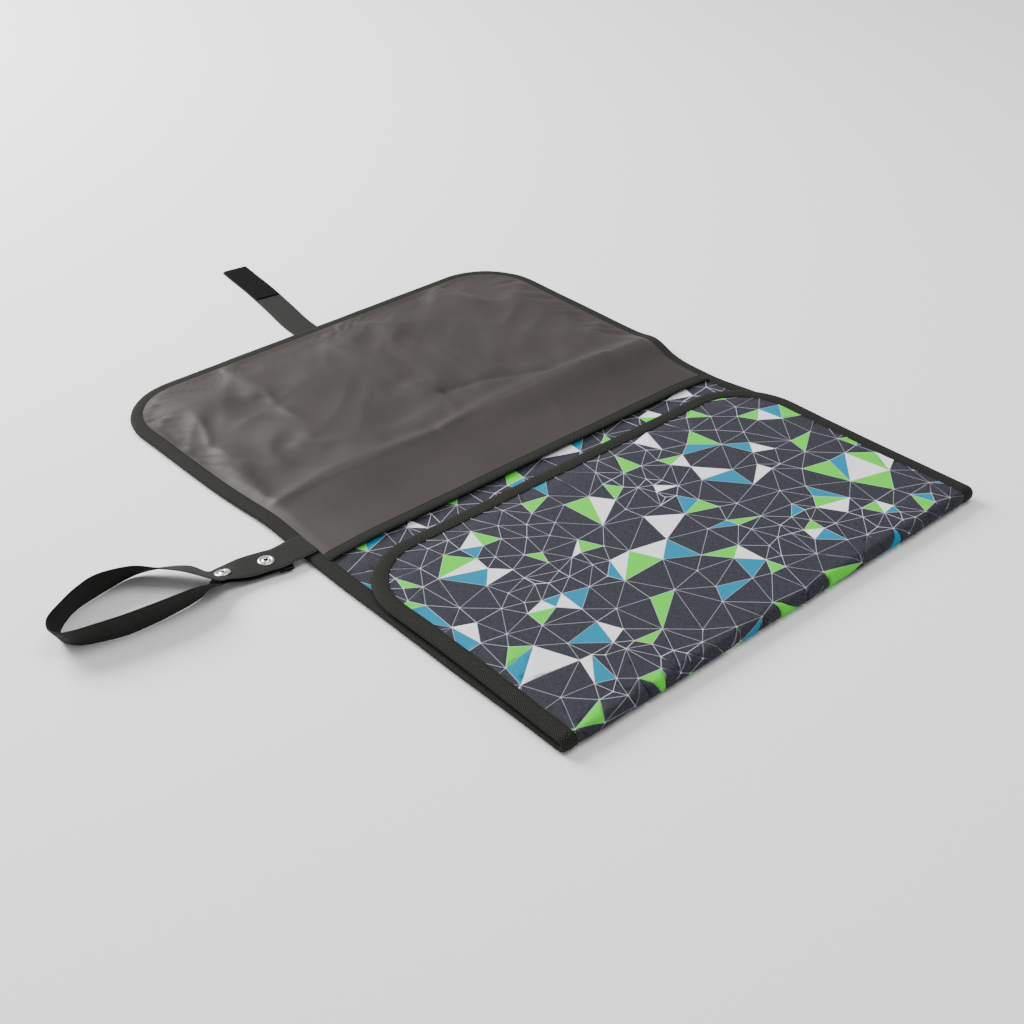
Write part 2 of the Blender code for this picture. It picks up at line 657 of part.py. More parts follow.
# Snap fasteners, four turned pieces each: ring and socket above, stud and post below
barrel_hole = RING_BARREL + GAP
post_hole = POST_BARREL + GAP
ring_profile = [
    (RING_BORE, socket_high + SNAP_GAP),
    (RING_BARREL, socket_high + SNAP_GAP),
    (RING_BARREL, ring_low),
    (RING_RADIUS, ring_low),
    (RING_RADIUS - GAP, ring_high - GAP),
    (RING_BARREL + GAP, ring_high),
    (RING_BORE, ring_high - GAP),
]
socket_profile = [
    (0.0, socket_high - SOCKET_ROOF),
    (STUD_BOSS_RADIUS + GAP, socket_high - SOCKET_ROOF),
    (STUD_BOSS_RADIUS + GAP, socket_low),
    (SOCKET_RADIUS - GAP, socket_low),
    (SOCKET_RADIUS, socket_low + GAP),
    (SOCKET_RADIUS, socket_high),
    (0.0, socket_high),
]
stud_profile = [
    (0.0, stud_high + STUD_BOSS_HEIGHT - STUD_ROOF),
    (STUD_BOSS_RADIUS - STUD_WALL, stud_high + STUD_BOSS_HEIGHT - STUD_ROOF),
    (STUD_BOSS_RADIUS - STUD_WALL, stud_low),
    (STUD_RADIUS, stud_low),
    (STUD_RADIUS, stud_high),
    (STUD_BOSS_RADIUS, stud_high),
    (STUD_BOSS_RADIUS, stud_high + STUD_BOSS_HEIGHT),
    (0.0, stud_high + STUD_BOSS_HEIGHT),
]
post_profile = [
    (0.0, post_low),
    (POST_RADIUS, post_low),
    (POST_RADIUS, post_high),
    (POST_BARREL, post_high),
    (POST_BARREL, stud_high + STUD_BOSS_HEIGHT - STUD_ROOF - GAP),
    (0.0, stud_high + STUD_BOSS_HEIGHT - STUD_ROOF - GAP),
]
for label, centre in zip(("inner", "outer"), SNAP_CENTRES):
    upper_hole = hole_cutter(
        "ring_hole_" + label, (*centre, upper_web), barrel_hole, 4 * WEBBING, "black_webbing"
    )
    cut_with(wrist_webbing, upper_hole)
    lower_hole = hole_cutter(
        "post_hole_" + label, (*centre, lower_web), post_hole, 4 * WEBBING, "black_webbing"
    )
    cut_with(free_end, lower_hole)
    turned_piece("snap_ring_" + label, ring_profile, centre)
    turned_piece("snap_socket_" + label, socket_profile, centre)
    turned_piece("snap_stud_" + label, stud_profile, centre)
    turned_piece("snap_post_" + label, post_profile, centre)
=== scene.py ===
"""A folding baby changing mat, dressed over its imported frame.

The mat lies open on the floor with its front panel still folded up. X runs across the
mat, Y from the bottom fold to the flap's free edge, and Z is up, all in metres.
"""

import math
import random

import bpy
import numpy as np
from mathutils import Matrix, Vector, noise
from mathutils.bvhtree import BVHTree
from mathutils.geometry import delaunay_2d_cdt


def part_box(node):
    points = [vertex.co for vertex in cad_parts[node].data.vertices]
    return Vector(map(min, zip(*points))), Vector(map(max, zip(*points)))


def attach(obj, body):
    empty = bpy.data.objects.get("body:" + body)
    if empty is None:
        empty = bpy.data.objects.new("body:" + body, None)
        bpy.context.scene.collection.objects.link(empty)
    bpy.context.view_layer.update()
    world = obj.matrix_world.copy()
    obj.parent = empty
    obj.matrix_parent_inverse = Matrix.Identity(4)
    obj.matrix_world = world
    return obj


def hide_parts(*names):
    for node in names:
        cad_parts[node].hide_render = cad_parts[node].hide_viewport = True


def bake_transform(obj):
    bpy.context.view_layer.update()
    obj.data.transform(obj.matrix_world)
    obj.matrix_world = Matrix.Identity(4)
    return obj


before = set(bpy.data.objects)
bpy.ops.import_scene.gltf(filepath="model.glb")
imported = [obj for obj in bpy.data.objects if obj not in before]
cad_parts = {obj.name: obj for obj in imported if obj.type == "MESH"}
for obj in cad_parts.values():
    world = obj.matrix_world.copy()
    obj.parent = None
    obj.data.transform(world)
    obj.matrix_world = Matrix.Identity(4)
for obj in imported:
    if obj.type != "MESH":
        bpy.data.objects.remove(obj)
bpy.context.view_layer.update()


# ---------------------------------------------------------------- The room
# A plain pale floor under a white sky, with one large soft lamp behind the mat and a
# weaker one overhead, and a camera that looks down on the mat from its front left.
bpy.ops.object.select_all(action="DESELECT")
bpy.ops.mesh.primitive_plane_add(size=30.0, location=(0.0, 0.0, -0.0001))
floor = bpy.context.object
floor.name = "floor"
floor_paint = bpy.data.materials.new("floor_paint")
floor_paint.use_nodes = True
floor_shader = floor_paint.node_tree.nodes["Principled BSDF"]
floor_shader.inputs["Base Color"].default_value = (0.93, 0.93, 0.93, 1.0)
floor_shader.inputs["Roughness"].default_value = 0.9
floor.data.materials.append(floor_paint)

sky = bpy.data.worlds.new("sky")
sky.use_nodes = True
sky_light = sky.node_tree.nodes["Background"]
sky_light.inputs["Color"].default_value = (1.0, 1.0, 1.0, 1.0)
sky_light.inputs["Strength"].default_value = 0.55
bpy.context.scene.world = sky


def add_lamp(name, place, target, size, power):
    """A square soft lamp that faces its target."""
    bpy.ops.object.light_add(type="AREA", location=place)
    lamp = bpy.context.object
    lamp.name = name
    lamp.data.size = size
    lamp.data.energy = power
    lamp.rotation_euler = (Vector(target) - Vector(place)).to_track_quat("-Z", "Y").to_euler()


add_lamp("lamp_behind", (-0.5, 2.0, 1.25), (0.0, 0.1, 0.0), 1.3, 115.0)
add_lamp("lamp_overhead", (0.4, -0.3, 2.3), (0.0, 0.1, 0.0), 1.4, 26.0)

camera_data = bpy.data.cameras.new("camera")
camera_data.lens = 55.81
camera_data.sensor_width = 36.0
camera = bpy.data.objects.new("camera", camera_data)
bpy.context.scene.collection.objects.link(camera)
looked_at = Vector((-0.0605, 0.0668, 0.0))
camera.location = looked_at + 1.231 * Vector((-0.5500, -0.6185, 0.5612))
camera.rotation_euler = (looked_at - camera.location).to_track_quat("-Z", "Y").to_euler()
bpy.context.scene.camera = camera


# ---------------------------------------------------------------- Wadding
# Two layers of thin polyester wadding, one for the back panel and flap and one for the
# front panel. Each is caught in the seam all round, so that it swells between its edges.
half_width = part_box("flap_binding")[1].x
fold_y = (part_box("back_binding_left")[0].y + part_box("front_binding")[0].y) / 2
front_edge_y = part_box("front_binding")[1].y
flap_edge_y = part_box("flap_binding")[1].y
fold_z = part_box("bottom_fold_shell")[1].z / 2
strip_start, strip_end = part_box("pocket_fold_panel")[0].y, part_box("pocket_fold_panel")[1].y
CORNER = 0.062
TAPE_WIDTH = 0.0128
PANEL_MIDDLE = 0.0031  # height of a panel's bound edge, halfway through it
FRONT_MIDDLE = 0.0098
SEWN_HALF = 0.0017  # half the thickness of the sewn edge, inside its tape
SWELL = 0.0018  # how much further each face stands off in the middle of a panel
FOLD_THINNING = 0.0010  # how much less wadding there is over the flap's fold
MAT_CLEARANCE = 0.0003  # how far each pad's upper face stays below its cloth
FRONT_CLEARANCE = 0.0004


def smooth(value, low, high):
    """0 below low, 1 above high, and a soft rise between them."""
    share = np.clip((np.asarray(value, float) - low) / (high - low), 0.0, 1.0)
    return share * share * (3.0 - 2.0 * share)


def inset(x, y, edge_y):
    """How far a point lies inside a panel that ends at edge_y with two round corners."""
    across = np.abs(x) - (half_width - CORNER)
    along = y - (edge_y - CORNER)
    corner = CORNER - np.hypot(np.maximum(across, 0.0), np.maximum(along, 0.0))
    return np.where((across > 0) & (along > 0), corner, np.minimum(half_width - np.abs(x), edge_y - y))


def ripple(x, y, size, seed, depth=2):
    """Soft unevenness between -1 and 1, with bumps of about the given size."""
    flat = zip(np.ravel(x), np.ravel(y))
    found = [noise.fractal(Vector((a / size, b / size, seed)), 1.0, 2.0, depth) for a, b in flat]
    return np.reshape(found, np.shape(x))


def lie(x, y, z):
    """Where a point of the opened mat comes to rest: the flap's fold stands up a little
    and pulls the sides in."""
    rise = 0.0012 + 0.0036 * smooth(x, -0.20, 0.24) + 0.0006 * np.sin(9.0 * x)
    crest = 0.1785 - 0.004 * x
    lift = np.exp(-(((y - crest) / 0.0195) ** 2))
    pull = 0.010 * smooth(y, 0.035, 0.110) * (1 - smooth(y, 0.125, 0.215)) * smooth(x, 0.0, half_width)
    pull -= 0.004 * smooth(-x, 0.0, half_width) * np.exp(-(((y - 0.17) / 0.05) ** 2))
    return x - pull, y, z + rise * lift


def narrow(x, y):
    """The folded-up front panel is drawn in a little at both sides."""
    along = np.clip((y - fold_y) / (front_edge_y - fold_y + 0.05), 0.0, 1.0)
    return x * (1 - 0.012 * np.sin(math.pi * along))


def deselect():
    bpy.ops.object.select_all(action="DESELECT")


def apply_all(piece):
    """Applies the piece's modifiers, in order."""
    deselect()
    bpy.context.view_layer.objects.active = piece
    piece.select_set(True)
    for modifier in list(piece.modifiers):
        bpy.ops.object.modifier_apply(modifier=modifier.name)


def points_of(piece):
    flat = np.empty(len(piece.data.vertices) * 3)
    piece.data.vertices.foreach_get("co", flat)
    return flat.reshape(-1, 3)


def move_points(piece, points):
    piece.data.vertices.foreach_set("co", np.ascontiguousarray(points, np.float32).ravel())
    piece.data.update()


def sewn_pad(name, y_from, edge_y, middle):
    """A flat pad between two faces, with round corners at edge_y, blown up by its filling."""
    depth = edge_y - y_from - 0.006
    deselect()
    bpy.ops.mesh.primitive_grid_add(
        x_subdivisions=54, y_subdivisions=round(depth / 0.008), size=1.0, location=(0.0, 0.0, 0.0)
    )
    pad = bpy.context.object
    pad.name = name
    points = points_of(pad)
    points[:, 0] *= 2 * (half_width - 0.006)
    points[:, 1] = y_from + (points[:, 1] + 0.5) * depth
    reach = CORNER - 0.006
    for point in points:
        across, along = abs(point[0]) - (half_width - CORNER), point[1] - (edge_y - CORNER)
        if across > 0 and along > 0:
            share = max(across, along) / math.hypot(across, along)
            point[0] = math.copysign(half_width - CORNER + across * share, point[0])
            point[1] = edge_y - CORNER + along * share
    points[:, 2] = middle + 0.0008
    move_points(pad, points)
    layers = pad.modifiers.new("layers", "SOLIDIFY")
    layers.thickness = 0.0016
    layers.offset = -1.0
    apply_all(pad)
    flat = points_of(pad)
    rim = inset(flat[:, 0], flat[:, 1], edge_y) < 0.0085
    if y_from > -0.2:
        rim |= flat[:, 1] < y_from + 0.004
    held = pad.vertex_groups.new(name="sewn")
    held.add([int(i) for i in np.flatnonzero(rim)], 1.0, "REPLACE")
    cloth = pad.modifiers.new("filling", "CLOTH")
    cloth.settings.quality = 6
    cloth.settings.mass = 0.2
    cloth.settings.tension_stiffness = 25.0
    cloth.settings.bending_stiffness = 0.4
    cloth.settings.use_pressure = True
    cloth.settings.uniform_pressure_force = 4.0
    cloth.settings.shrink_min = -0.012
    cloth.settings.vertex_group_mass = "sewn"
    cloth.settings.effector_weights.gravity = 0.0
    for step in range(1, 21):
        bpy.context.scene.frame_set(step)
    apply_all(pad)
    puffed = points_of(pad)
    swell = np.clip(np.abs(puffed[:, 2] - middle) - 0.0008, 0.0, None)
    limit = SWELL + SEWN_HALF - 0.0014
    side = np.sign(flat[:, 2] - middle)
    edge = inset(flat[:, 0], flat[:, 1], edge_y)
    limit = limit * (0.35 + 0.65 * smooth(edge, 0.008, 0.026))
    flat[:, 2] += side * limit * np.tanh(1.6 * swell / limit)
    move_points(pad, flat)
    smoother = pad.modifiers.new("smoother", "SUBSURF")
    smoother.levels = smoother.render_levels = 1
    apply_all(pad)
    bpy.ops.object.shade_smooth()
    return pad


front_wadding = sewn_pad("front_wadding", fold_y, front_edge_y, FRONT_MIDDLE)
mat_wadding = sewn_pad("mat_wadding", fold_y, flap_edge_y, PANEL_MIDDLE)
mat_points = points_of(mat_wadding)
pressed = 0.0011 * smooth(mat_points[:, 1], 0.112, 0.135) * (mat_points[:, 2] > PANEL_MIDDLE + 0.0016)
mat_points[:, 2] -= pressed
covered = 1 - smooth(mat_points[:, 1], 0.065, 0.085)
mat_points[:, 2] = np.minimum(mat_points[:, 2], 0.0053 + 0.002 * (1 - covered))
move_points(mat_wadding, mat_points)


def search_tree(piece):
    """The piece's faces, ready to be met by a ray."""
    corners = [v.co for v in piece.data.vertices]
    return BVHTree.FromPolygons(corners, [tuple(p.vertices) for p in piece.data.polygons])


def face_heights(pad, face):
    """A function that gives the height of the pad's upper (1) or lower (-1) face."""
    tree = search_tree(pad)

    def height(x, y):
        found = []
        for a, b in zip(np.ravel(x), np.ravel(y)):
            hit = tree.ray_cast(Vector((a, b, 0.05 * face)), Vector((0.0, 0.0, -face)))[0]
            found.append(np.nan if hit is None else hit.z)
        return np.reshape(found, np.shape(x))

    return height


front_top_height = face_heights(front_wadding, 1)
mat_top_height = face_heights(mat_wadding, 1)

mat_points = points_of(mat_wadding)
in_fold = smooth(mat_points[:, 1], strip_start - 0.010, strip_start)
in_fold *= 1 - smooth(mat_points[:, 1], strip_end, strip_end + 0.010)
mat_points[:, 2] = np.maximum(mat_points[:, 2], 0.0024 + FOLD_THINNING * in_fold)
mat_points[:, 2] -= MAT_CLEARANCE * (mat_points[:, 2] > PANEL_MIDDLE + 0.0005)
move_points(mat_wadding, np.column_stack(lie(*mat_points.T)))
front_points = points_of(front_wadding)
front_points[:, 2] -= FRONT_CLEARANCE * (front_points[:, 2] > FRONT_MIDDLE)
front_points[:, 2] = np.maximum(front_points[:, 2], FRONT_MIDDLE - 0.0019)
front_points[:, 0] = narrow(front_points[:, 0], front_points[:, 1])
move_points(front_wadding, front_points)


class Wire:
    """A shader socket that adds a Math node when it takes part in Python arithmetic."""

    def __init__(self, finish, socket):
        self.finish = finish
        self.socket = socket

    def math(self, operation, *others):
        return self.finish.add("ShaderNodeMath", {"operation": operation}, dict(enumerate((self, *others))))

    def math_after(self, operation, first):
        return self.finish.add("ShaderNodeMath", {"operation": operation}, {0: first, 1: self})

    def __add__(self, other):
        return self.math("ADD", other)

    def __sub__(self, other):
        return self.math("SUBTRACT", other)

    def __rsub__(self, other):
        return self.math_after("SUBTRACT", other)

    def __mul__(self, other):
        return self.math("MULTIPLY", other)

    def __truediv__(self, other):
        return self.math("DIVIDE", other)

    def __abs__(self):
        return self.math("ABSOLUTE")

    __radd__ = __add__
    __rmul__ = __mul__

    def sine(self):
        return self.math("SINE")

    def folded(self, width):
        return self.math("PINGPONG", width)

    def wrapped(self, length):
        return self.math("FLOORED_MODULO", length)

    def least(self, other):
        return self.math("MINIMUM", other)

    def ramp(self, low, high):
        settings = {"interpolation_type": "SMOOTHSTEP"}
        return self.finish.add("ShaderNodeMapRange", settings, {0: self, 1: low, 2: high, 3: 0.0, 4: 1.0})


class Finish:
    """A procedural material, built up node by node."""

    def __init__(self, name, slot, colour, roughness, metallic=0.0):
        self.slot = slot
        self.material = bpy.data.materials.new(name)
        self.material.use_nodes = True
        self.tree = self.material.node_tree
        self.shader = self.tree.nodes["Principled BSDF"]
        self.shader.inputs["Base Color"].default_value = (*colour, 1.0)
        self.shader.inputs["Roughness"].default_value = roughness
        self.shader.inputs["Metallic"].default_value = metallic

    def add(self, kind, settings=None, inputs=None, output=0):
        made = self.tree.nodes.new(kind)
        for key, value in (settings or {}).items():
            setattr(made, key, value)
        for key, value in (inputs or {}).items():
            if isinstance(value, Wire):
                self.tree.links.new(value.socket, made.inputs[key])
            else:
                made.inputs[key].default_value = value
        return Wire(self, made.outputs[output])

    def attribute(self, name, output="Fac"):
        return self.add("ShaderNodeAttribute", {"attribute_name": name}, {}, output)

    def place(self):
        return self.add("ShaderNodeTexCoord", None, None, "Object")

    def flat_place(self):
        return self.add("ShaderNodeUVMap", {"uv_map": "cloth"}, None, "UV")

    def split(self, vector):
        return [self.add("ShaderNodeSeparateXYZ", None, {0: vector}, part) for part in range(3)]

    def join(self, x, y, z=0.0):
        return self.add("ShaderNodeCombineXYZ", None, {0: x, 1: y, 2: z})

    def grain(self, vector, scale, detail=2.0, roughness=0.5):
        inputs = {"Vector": vector, "Scale": scale, "Detail": detail, "Roughness": roughness}
        return self.add("ShaderNodeTexNoise", {"noise_dimensions": "3D"}, inputs)

    def mix(self, share, first, second, blend="MIX"):
        inputs = {0: share, 6: first, 7: second}
        return self.add("ShaderNodeMix", {"data_type": "RGBA", "blend_type": blend}, inputs, 2)

    def send(self, socket, wire):
        self.tree.links.new(wire.socket, self.shader.inputs[socket])

    def bump(self, height, distance, strength=1.0):
        inputs = {"Height": height, "Distance": distance, "Strength": strength}
        self.send("Normal", self.add("ShaderNodeBump", None, inputs))

    def put_on(self, piece):
        piece.data.materials.clear()
        piece.data.materials.append(self.material)


wadding = Finish("wadding", "foam", (0.80, 0.79, 0.76), 0.95)
fluff = wadding.grain(wadding.place(), 900.0, 3.0, 0.7)
wadding.send("Base Color", wadding.mix(fluff, (0.66, 0.65, 0.62, 1.0), (0.90, 0.89, 0.86, 1.0)))
wadding.bump(fluff, 0.0006)
wadding.put_on(front_wadding)
wadding.put_on(mat_wadding)

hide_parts("front_foam", "bottom_fold_foam")
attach(front_wadding, "front")
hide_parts("back_foam", "flap_fold_foam", "flap_foam")
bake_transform(mat_wadding)


# ---------------------------------------------------------------- Printed cloth
# Slate heathered polyester, printed with a net of fine pale lines and scattered green,
# blue and white triangles. One length goes round the outside and one lines the inside.
FOLD_RADIUS = fold_z
FOLD_LENGTH = math.pi * FOLD_RADIUS
SEAM = 0.0035  # the cloth's cut edge, inside the tape
GREEN = (0.085, 0.660, 0.038)
BLUE = (0.006, 0.215, 0.350)
WHITE = (0.86, 0.85, 0.89)


def draw_net(seed, low, high):
    """The printed net over a flat piece of cloth: its points, its triangles, and for each
    triangle the colour that fills it, or None."""
    dice = random.Random(seed)
    knots = []
    grid = {}
    for _ in range(9000):
        x, y = dice.uniform(low[0], high[0]), dice.uniform(low[1], high[1])
        crowd = noise.noise(Vector((x * 17.0, y * 17.0, seed * 1.7)))
        apart = max(0.0090, 0.0195 + 0.016 * crowd + dice.uniform(-0.009, 0.009))
        cell = (int(x // 0.03), int(y // 0.03))
        near = [k for i in (-1, 0, 1) for j in (-1, 0, 1) for k in grid.get((cell[0] + i, cell[1] + j), [])]
        if all((x - a) ** 2 + (y - b) ** 2 > apart**2 for a, b in near):
            knots.append((x, y))
            grid.setdefault(cell, []).append((x, y))
    knots = [Vector(k) for k in knots]
    knots, _, cells, *_ = delaunay_2d_cdt(knots, [], [], 0, 1e-7)
    cells = [tuple(c) for c in cells]
    beside = {}
    for index, cell in enumerate(cells):
        for a, b in ((0, 1), (1, 2), (2, 0)):
            beside.setdefault(frozenset((cell[a], cell[b])), []).append(index)
    fills = [None] * len(cells)
    centres = [sum((knots[i] for i in cell), Vector((0.0, 0.0))) / 3 for cell in cells]
    order = list(range(len(cells)))
    dice.shuffle(order)
    starts = []
    for index in order:
        a, b, c = (knots[i] for i in cells[index])
        area = abs((b - a).cross(c - a)) / 2
        clear = all((centres[index] - s).length > 0.0325 for s in starts)
        if not 5.0e-5 < area < 5.5e-4 or not clear:
            continue
        starts.append(centres[index])
        colours = [GREEN, BLUE, WHITE]
        dice.shuffle(colours)
        if dice.random() < 0.35:
            colours.sort(key=lambda colour: colour is not GREEN)
        fills[index] = colours[0]
        here = index
        for colour, chance in ((colours[1], 0.62), (colours[2], 0.42)):
            if dice.random() > chance:
                break
            sides = [frozenset((cells[here][i], cells[here][(i + 1) % 3])) for i in range(3)]
            dice.shuffle(sides)
            for side in sides:
                free = [n for n in beside[side] if n != here and fills[n] is None]
                if free and (centres[free[0]] - centres[index]).length < 0.024:
                    here = free[0]
                    fills[here] = colour
                    break
    return knots, cells, fills


def round_outline(y_from, y_to, edge_y, margin):
    """The cut outline of a panel's cloth, anticlockwise. Its corners are round only where
    it ends at edge_y."""
    side = half_width - margin
    outline = [(-side, y_from), (side, y_from)]
    if y_to < edge_y - CORNER:
        return outline + [(side, y_to), (-side, y_to)]
    reach = CORNER - margin
    centre_x, centre_y = half_width - CORNER, edge_y - CORNER
    turns = [math.radians(90 * i / 16) for i in range(17)]
    outline += [(centre_x + reach * math.cos(t), centre_y + reach * math.sin(t)) for t in turns]
    outline += [(-centre_x - reach * math.sin(t), centre_y + reach * math.cos(t)) for t in turns]
    return outline


def cut_cloth(name, net, outline, spacing, extra=()):
    """Cuts a flat piece of the printed cloth along the outline, with an edge along each
    printed line, and stores the print on its corners."""
    knots, cells, fills = net
    outline = [Vector(p) for p in outline]
    low = Vector((min(p.x for p in outline), min(p.y for p in outline)))
    high = Vector((max(p.x for p in outline), max(p.y for p in outline)))
    loop = []
    for a, b in zip(outline, outline[1:] + outline[:1]):
        steps = max(1, round((b - a).length / spacing))
        loop += [a.lerp(b, i / steps) for i in range(steps)]
    columns = round((high.x - low.x) / spacing)
    rows = round((high.y - low.y) / spacing)
    points = list(loop)
    for i in range(1, columns):
        for j in range(1, rows):
            points.append(
                Vector((low.x + (high.x - low.x) * i / columns, low.y + (high.y - low.y) * j / rows))
            )
    for x_from, x_to, y, step in extra:
        count = round((x_to - x_from) / step)
        points += [Vector((x_from + (x_to - x_from) * i / count, y)) for i in range(count + 1)]
    first_knot = len(points)
    points += knots
    faces = [list(range(len(loop)))]
    margin = 0.05
    kept = []
    for index, cell in enumerate(cells):
        corners = [knots[i] for i in cell]
        in_x = [low.x - margin < c.x < high.x + margin for c in corners]
        in_y = [low.y - margin < c.y < high.y + margin for c in corners]
        if any(a and b for a, b in zip(in_x, in_y)):
            kept.append(index)
            faces.append([first_knot + i for i in cell])
    verts, _, faces, _, _, origins = delaunay_2d_cdt(points, [], faces, 0, 1e-7)
    wanted, cell_of = [], []
    for face, origin in zip(faces, origins):
        if 0 in origin:
            wanted.append(face)
            found = [o for o in origin if o > 0]
            cell_of.append(kept[found[0] - 1] if found else -1)
    used = sorted({i for face in wanted for i in face})
    renumber = {old: new for new, old in enumerate(used)}
    flat = np.array([verts[i] for i in used])
    mesh = bpy.data.meshes.new(name)
    mesh.from_pydata([(x, y, 0.0) for x, y in flat], [], [[renumber[i] for i in f] for f in wanted])
    store_print(mesh, flat, net, cell_of)
    piece = bpy.data.objects.new(name, mesh)
    bpy.context.scene.collection.objects.link(piece)
    return piece, flat


def store_print(mesh, flat, net, cell_of):
    """Stores on each corner its distance from the three printed lines round it, and on
    each face the colour that fills it."""
    knots, cells, fills = net
    mesh.update()
    count = len(mesh.loops)
    verts = np.empty(count, int)
    mesh.loops.foreach_get("vertex_index", verts)
    owner = np.repeat(np.arange(len(mesh.polygons)), 3)
    cell_index = np.array(cell_of)[owner]
    knot_array = np.array([tuple(k) for k in knots])
    cell_array = np.array(cells)
    here = flat[verts]
    lines = np.full((count, 3), 0.02)
    inside = cell_index >= 0
    corners = knot_array[cell_array[cell_index[inside]]]
    for side in range(3):
        a, b = corners[:, side], corners[:, (side + 1) % 3]
        run = b - a
        length = np.hypot(run[:, 0], run[:, 1])
        to = here[inside] - a
        lines[inside, side] = np.abs(run[:, 0] * to[:, 1] - run[:, 1] * to[:, 0]) / length
    attribute = mesh.attributes.new("lines", "FLOAT_VECTOR", "CORNER")
    attribute.data.foreach_set("vector", lines.ravel())
    nearest = np.full(len(flat), 0.02)
    for knot in knot_array:
        close = np.abs(flat - knot).max(axis=1) < 0.012
        if close.any():
            nearest[close] = np.minimum(nearest[close], np.hypot(*(flat[close] - knot).T))
    attribute = mesh.attributes.new("knot", "FLOAT", "POINT")
    attribute.data.foreach_set("value", nearest)
    colours = np.zeros((len(mesh.polygons), 4))
    for index, cell in enumerate(cell_of):
        if cell >= 0 and fills[cell]:
            colours[index] = (*fills[cell], 1.0)
    attribute = mesh.attributes.new("fill", "FLOAT_COLOR", "CORNER")
    attribute.data.foreach_set("color", np.repeat(colours, 3, axis=0).ravel())
    filled = mesh.attributes.new("filled", "FLOAT", "CORNER")
    filled.data.foreach_set("value", np.repeat(colours[:, 3], 3))
    uv = mesh.uv_layers.new(name="cloth")
    uv.data.foreach_set("uv", here.ravel())


outer_net = draw_net(5, (-0.26, -0.79), (0.26, 0.13))
inner_net = draw_net(11, (-0.26, -0.45), (0.26, 0.46))

# The outside of the front panel, round the bottom fold and a short way under the back panel
SPLIT_Y = -0.110
under_start = fold_y - FOLD_LENGTH  # where the flat cloth reaches the back panel's underside
split_flat = under_start - (SPLIT_Y - fold_y)
fold_rows = [
    (-half_width + SEAM, half_width - SEAM, fold_y - FOLD_LENGTH * i / 12, 0.004) for i in range(13)
]
outer_cloth_front, flat = cut_cloth(
    "outer_cloth_front",
    outer_net,
    round_outline(split_flat, front_edge_y - SEAM, front_edge_y, SEAM),
    0.0038,
    fold_rows,
)


def front_cloth_height(x, y):
    edge = inset(x, np.maximum(y, fold_y + 0.002), front_edge_y)
    swollen = front_top_height(x, np.clip(y, fold_y + 0.012, None)) + 0.0007
    level = FRONT_MIDDLE + SEWN_HALF + 0.0002
    height = level + (swollen - level) * smooth(edge, 0.0122, 0.024)
    return np.where(np.isnan(height), level, height)


x, v = flat.T
top_z = front_cloth_height(x, np.maximum(v, fold_y))
side = np.minimum(half_width - np.abs(x), 0.05)
full = smooth(side, 0.0105, 0.024)
turn = np.clip((fold_y - v) / FOLD_RADIUS, 0.0, math.pi)
lower_z = 0.0006 + 0.0008 * (1 - full)
arc_top = top_z - fold_z
arc_bottom = fold_z - lower_z
share = smooth(turn, 0.0, math.pi)
radius = arc_top * (1 - share) + arc_bottom * share
wave = 0.0006 * ripple(x, v * 0.3, 0.06, 3.0) + 0.00025 * ripple(x, v * 0.3, 0.022, 8.0)
radius = radius + wave * np.sin(turn)
arc_y = fold_y - radius * np.sin(turn)
arc_z = fold_z + radius * np.cos(turn)
under_y = fold_y + np.maximum(under_start - v, 0.0)
y = np.where(v >= fold_y, v, np.where(v > under_start, arc_y, under_y))
z = np.where(v >= fold_y, top_z, np.where(v > under_start, arc_z, lower_z))
x = np.where(v >= fold_y, narrow(x, v), x)
move_points(outer_cloth_front, np.column_stack((x, y, z)))

# The outside of the back panel and the flap
outline = round_outline(SPLIT_Y, flap_edge_y - SEAM, flap_edge_y, SEAM)
outline = [(a, under_start - (b - fold_y)) for a, b in reversed(outline)]
flap_rows = [
    (-half_width + SEAM, half_width - SEAM, under_start + fold_y - row, 0.004)
    for row in np.linspace(strip_start - 0.004, strip_end + 0.004, 21)
]
outer_cloth_back, flat = cut_cloth("outer_cloth_back", outer_net, outline, 0.0052, flap_rows)
x, v = flat.T
y = fold_y + (under_start - v)
edge = inset(x, y, flap_edge_y)
z = 0.0006 + 0.0008 * (1 - smooth(edge, 0.0105, 0.024))
z += 0.0008 * smooth(y, 0.19, 0.24) * smooth(edge, 0.012, 0.04) * (0.5 + ripple(x, y, 0.07, 4.0))
move_points(outer_cloth_back, np.column_stack(lie(x, y, z)))

# The lining, from the front panel's inner face round the inside of the fold to the flap
CREASE_Y = fold_y - 0.0047
mirrored = round_outline(2 * CREASE_Y + 0.12, front_edge_y - SEAM, front_edge_y, SEAM)
mirrored = [(a, 2 * CREASE_Y - b) for a, b in reversed(mirrored)]
crease_rows = [(-half_width + SEAM, half_width - SEAM, CREASE_Y + off, 0.005) for off in (0.0006, -0.0006)]
inner_cloth_front, flat = cut_cloth("inner_cloth_front", inner_net, mirrored, 0.0052, crease_rows)
x, v = flat.T
turned = v < CREASE_Y
y = np.where(turned, 2 * CREASE_Y - v, v)
edge = inset(x, y, front_edge_y)
z_back = 0.0060 - 0.0008 * (1 - smooth(half_width - np.abs(x), 0.0105, 0.024))
z_front = 0.0068 + 0.0009 * (1 - smooth(edge, 0.0105, 0.024))
x = np.where(turned, narrow(x, y), x)
move_points(inner_cloth_front, np.column_stack((x, y, np.where(turned, z_front, z_back))))

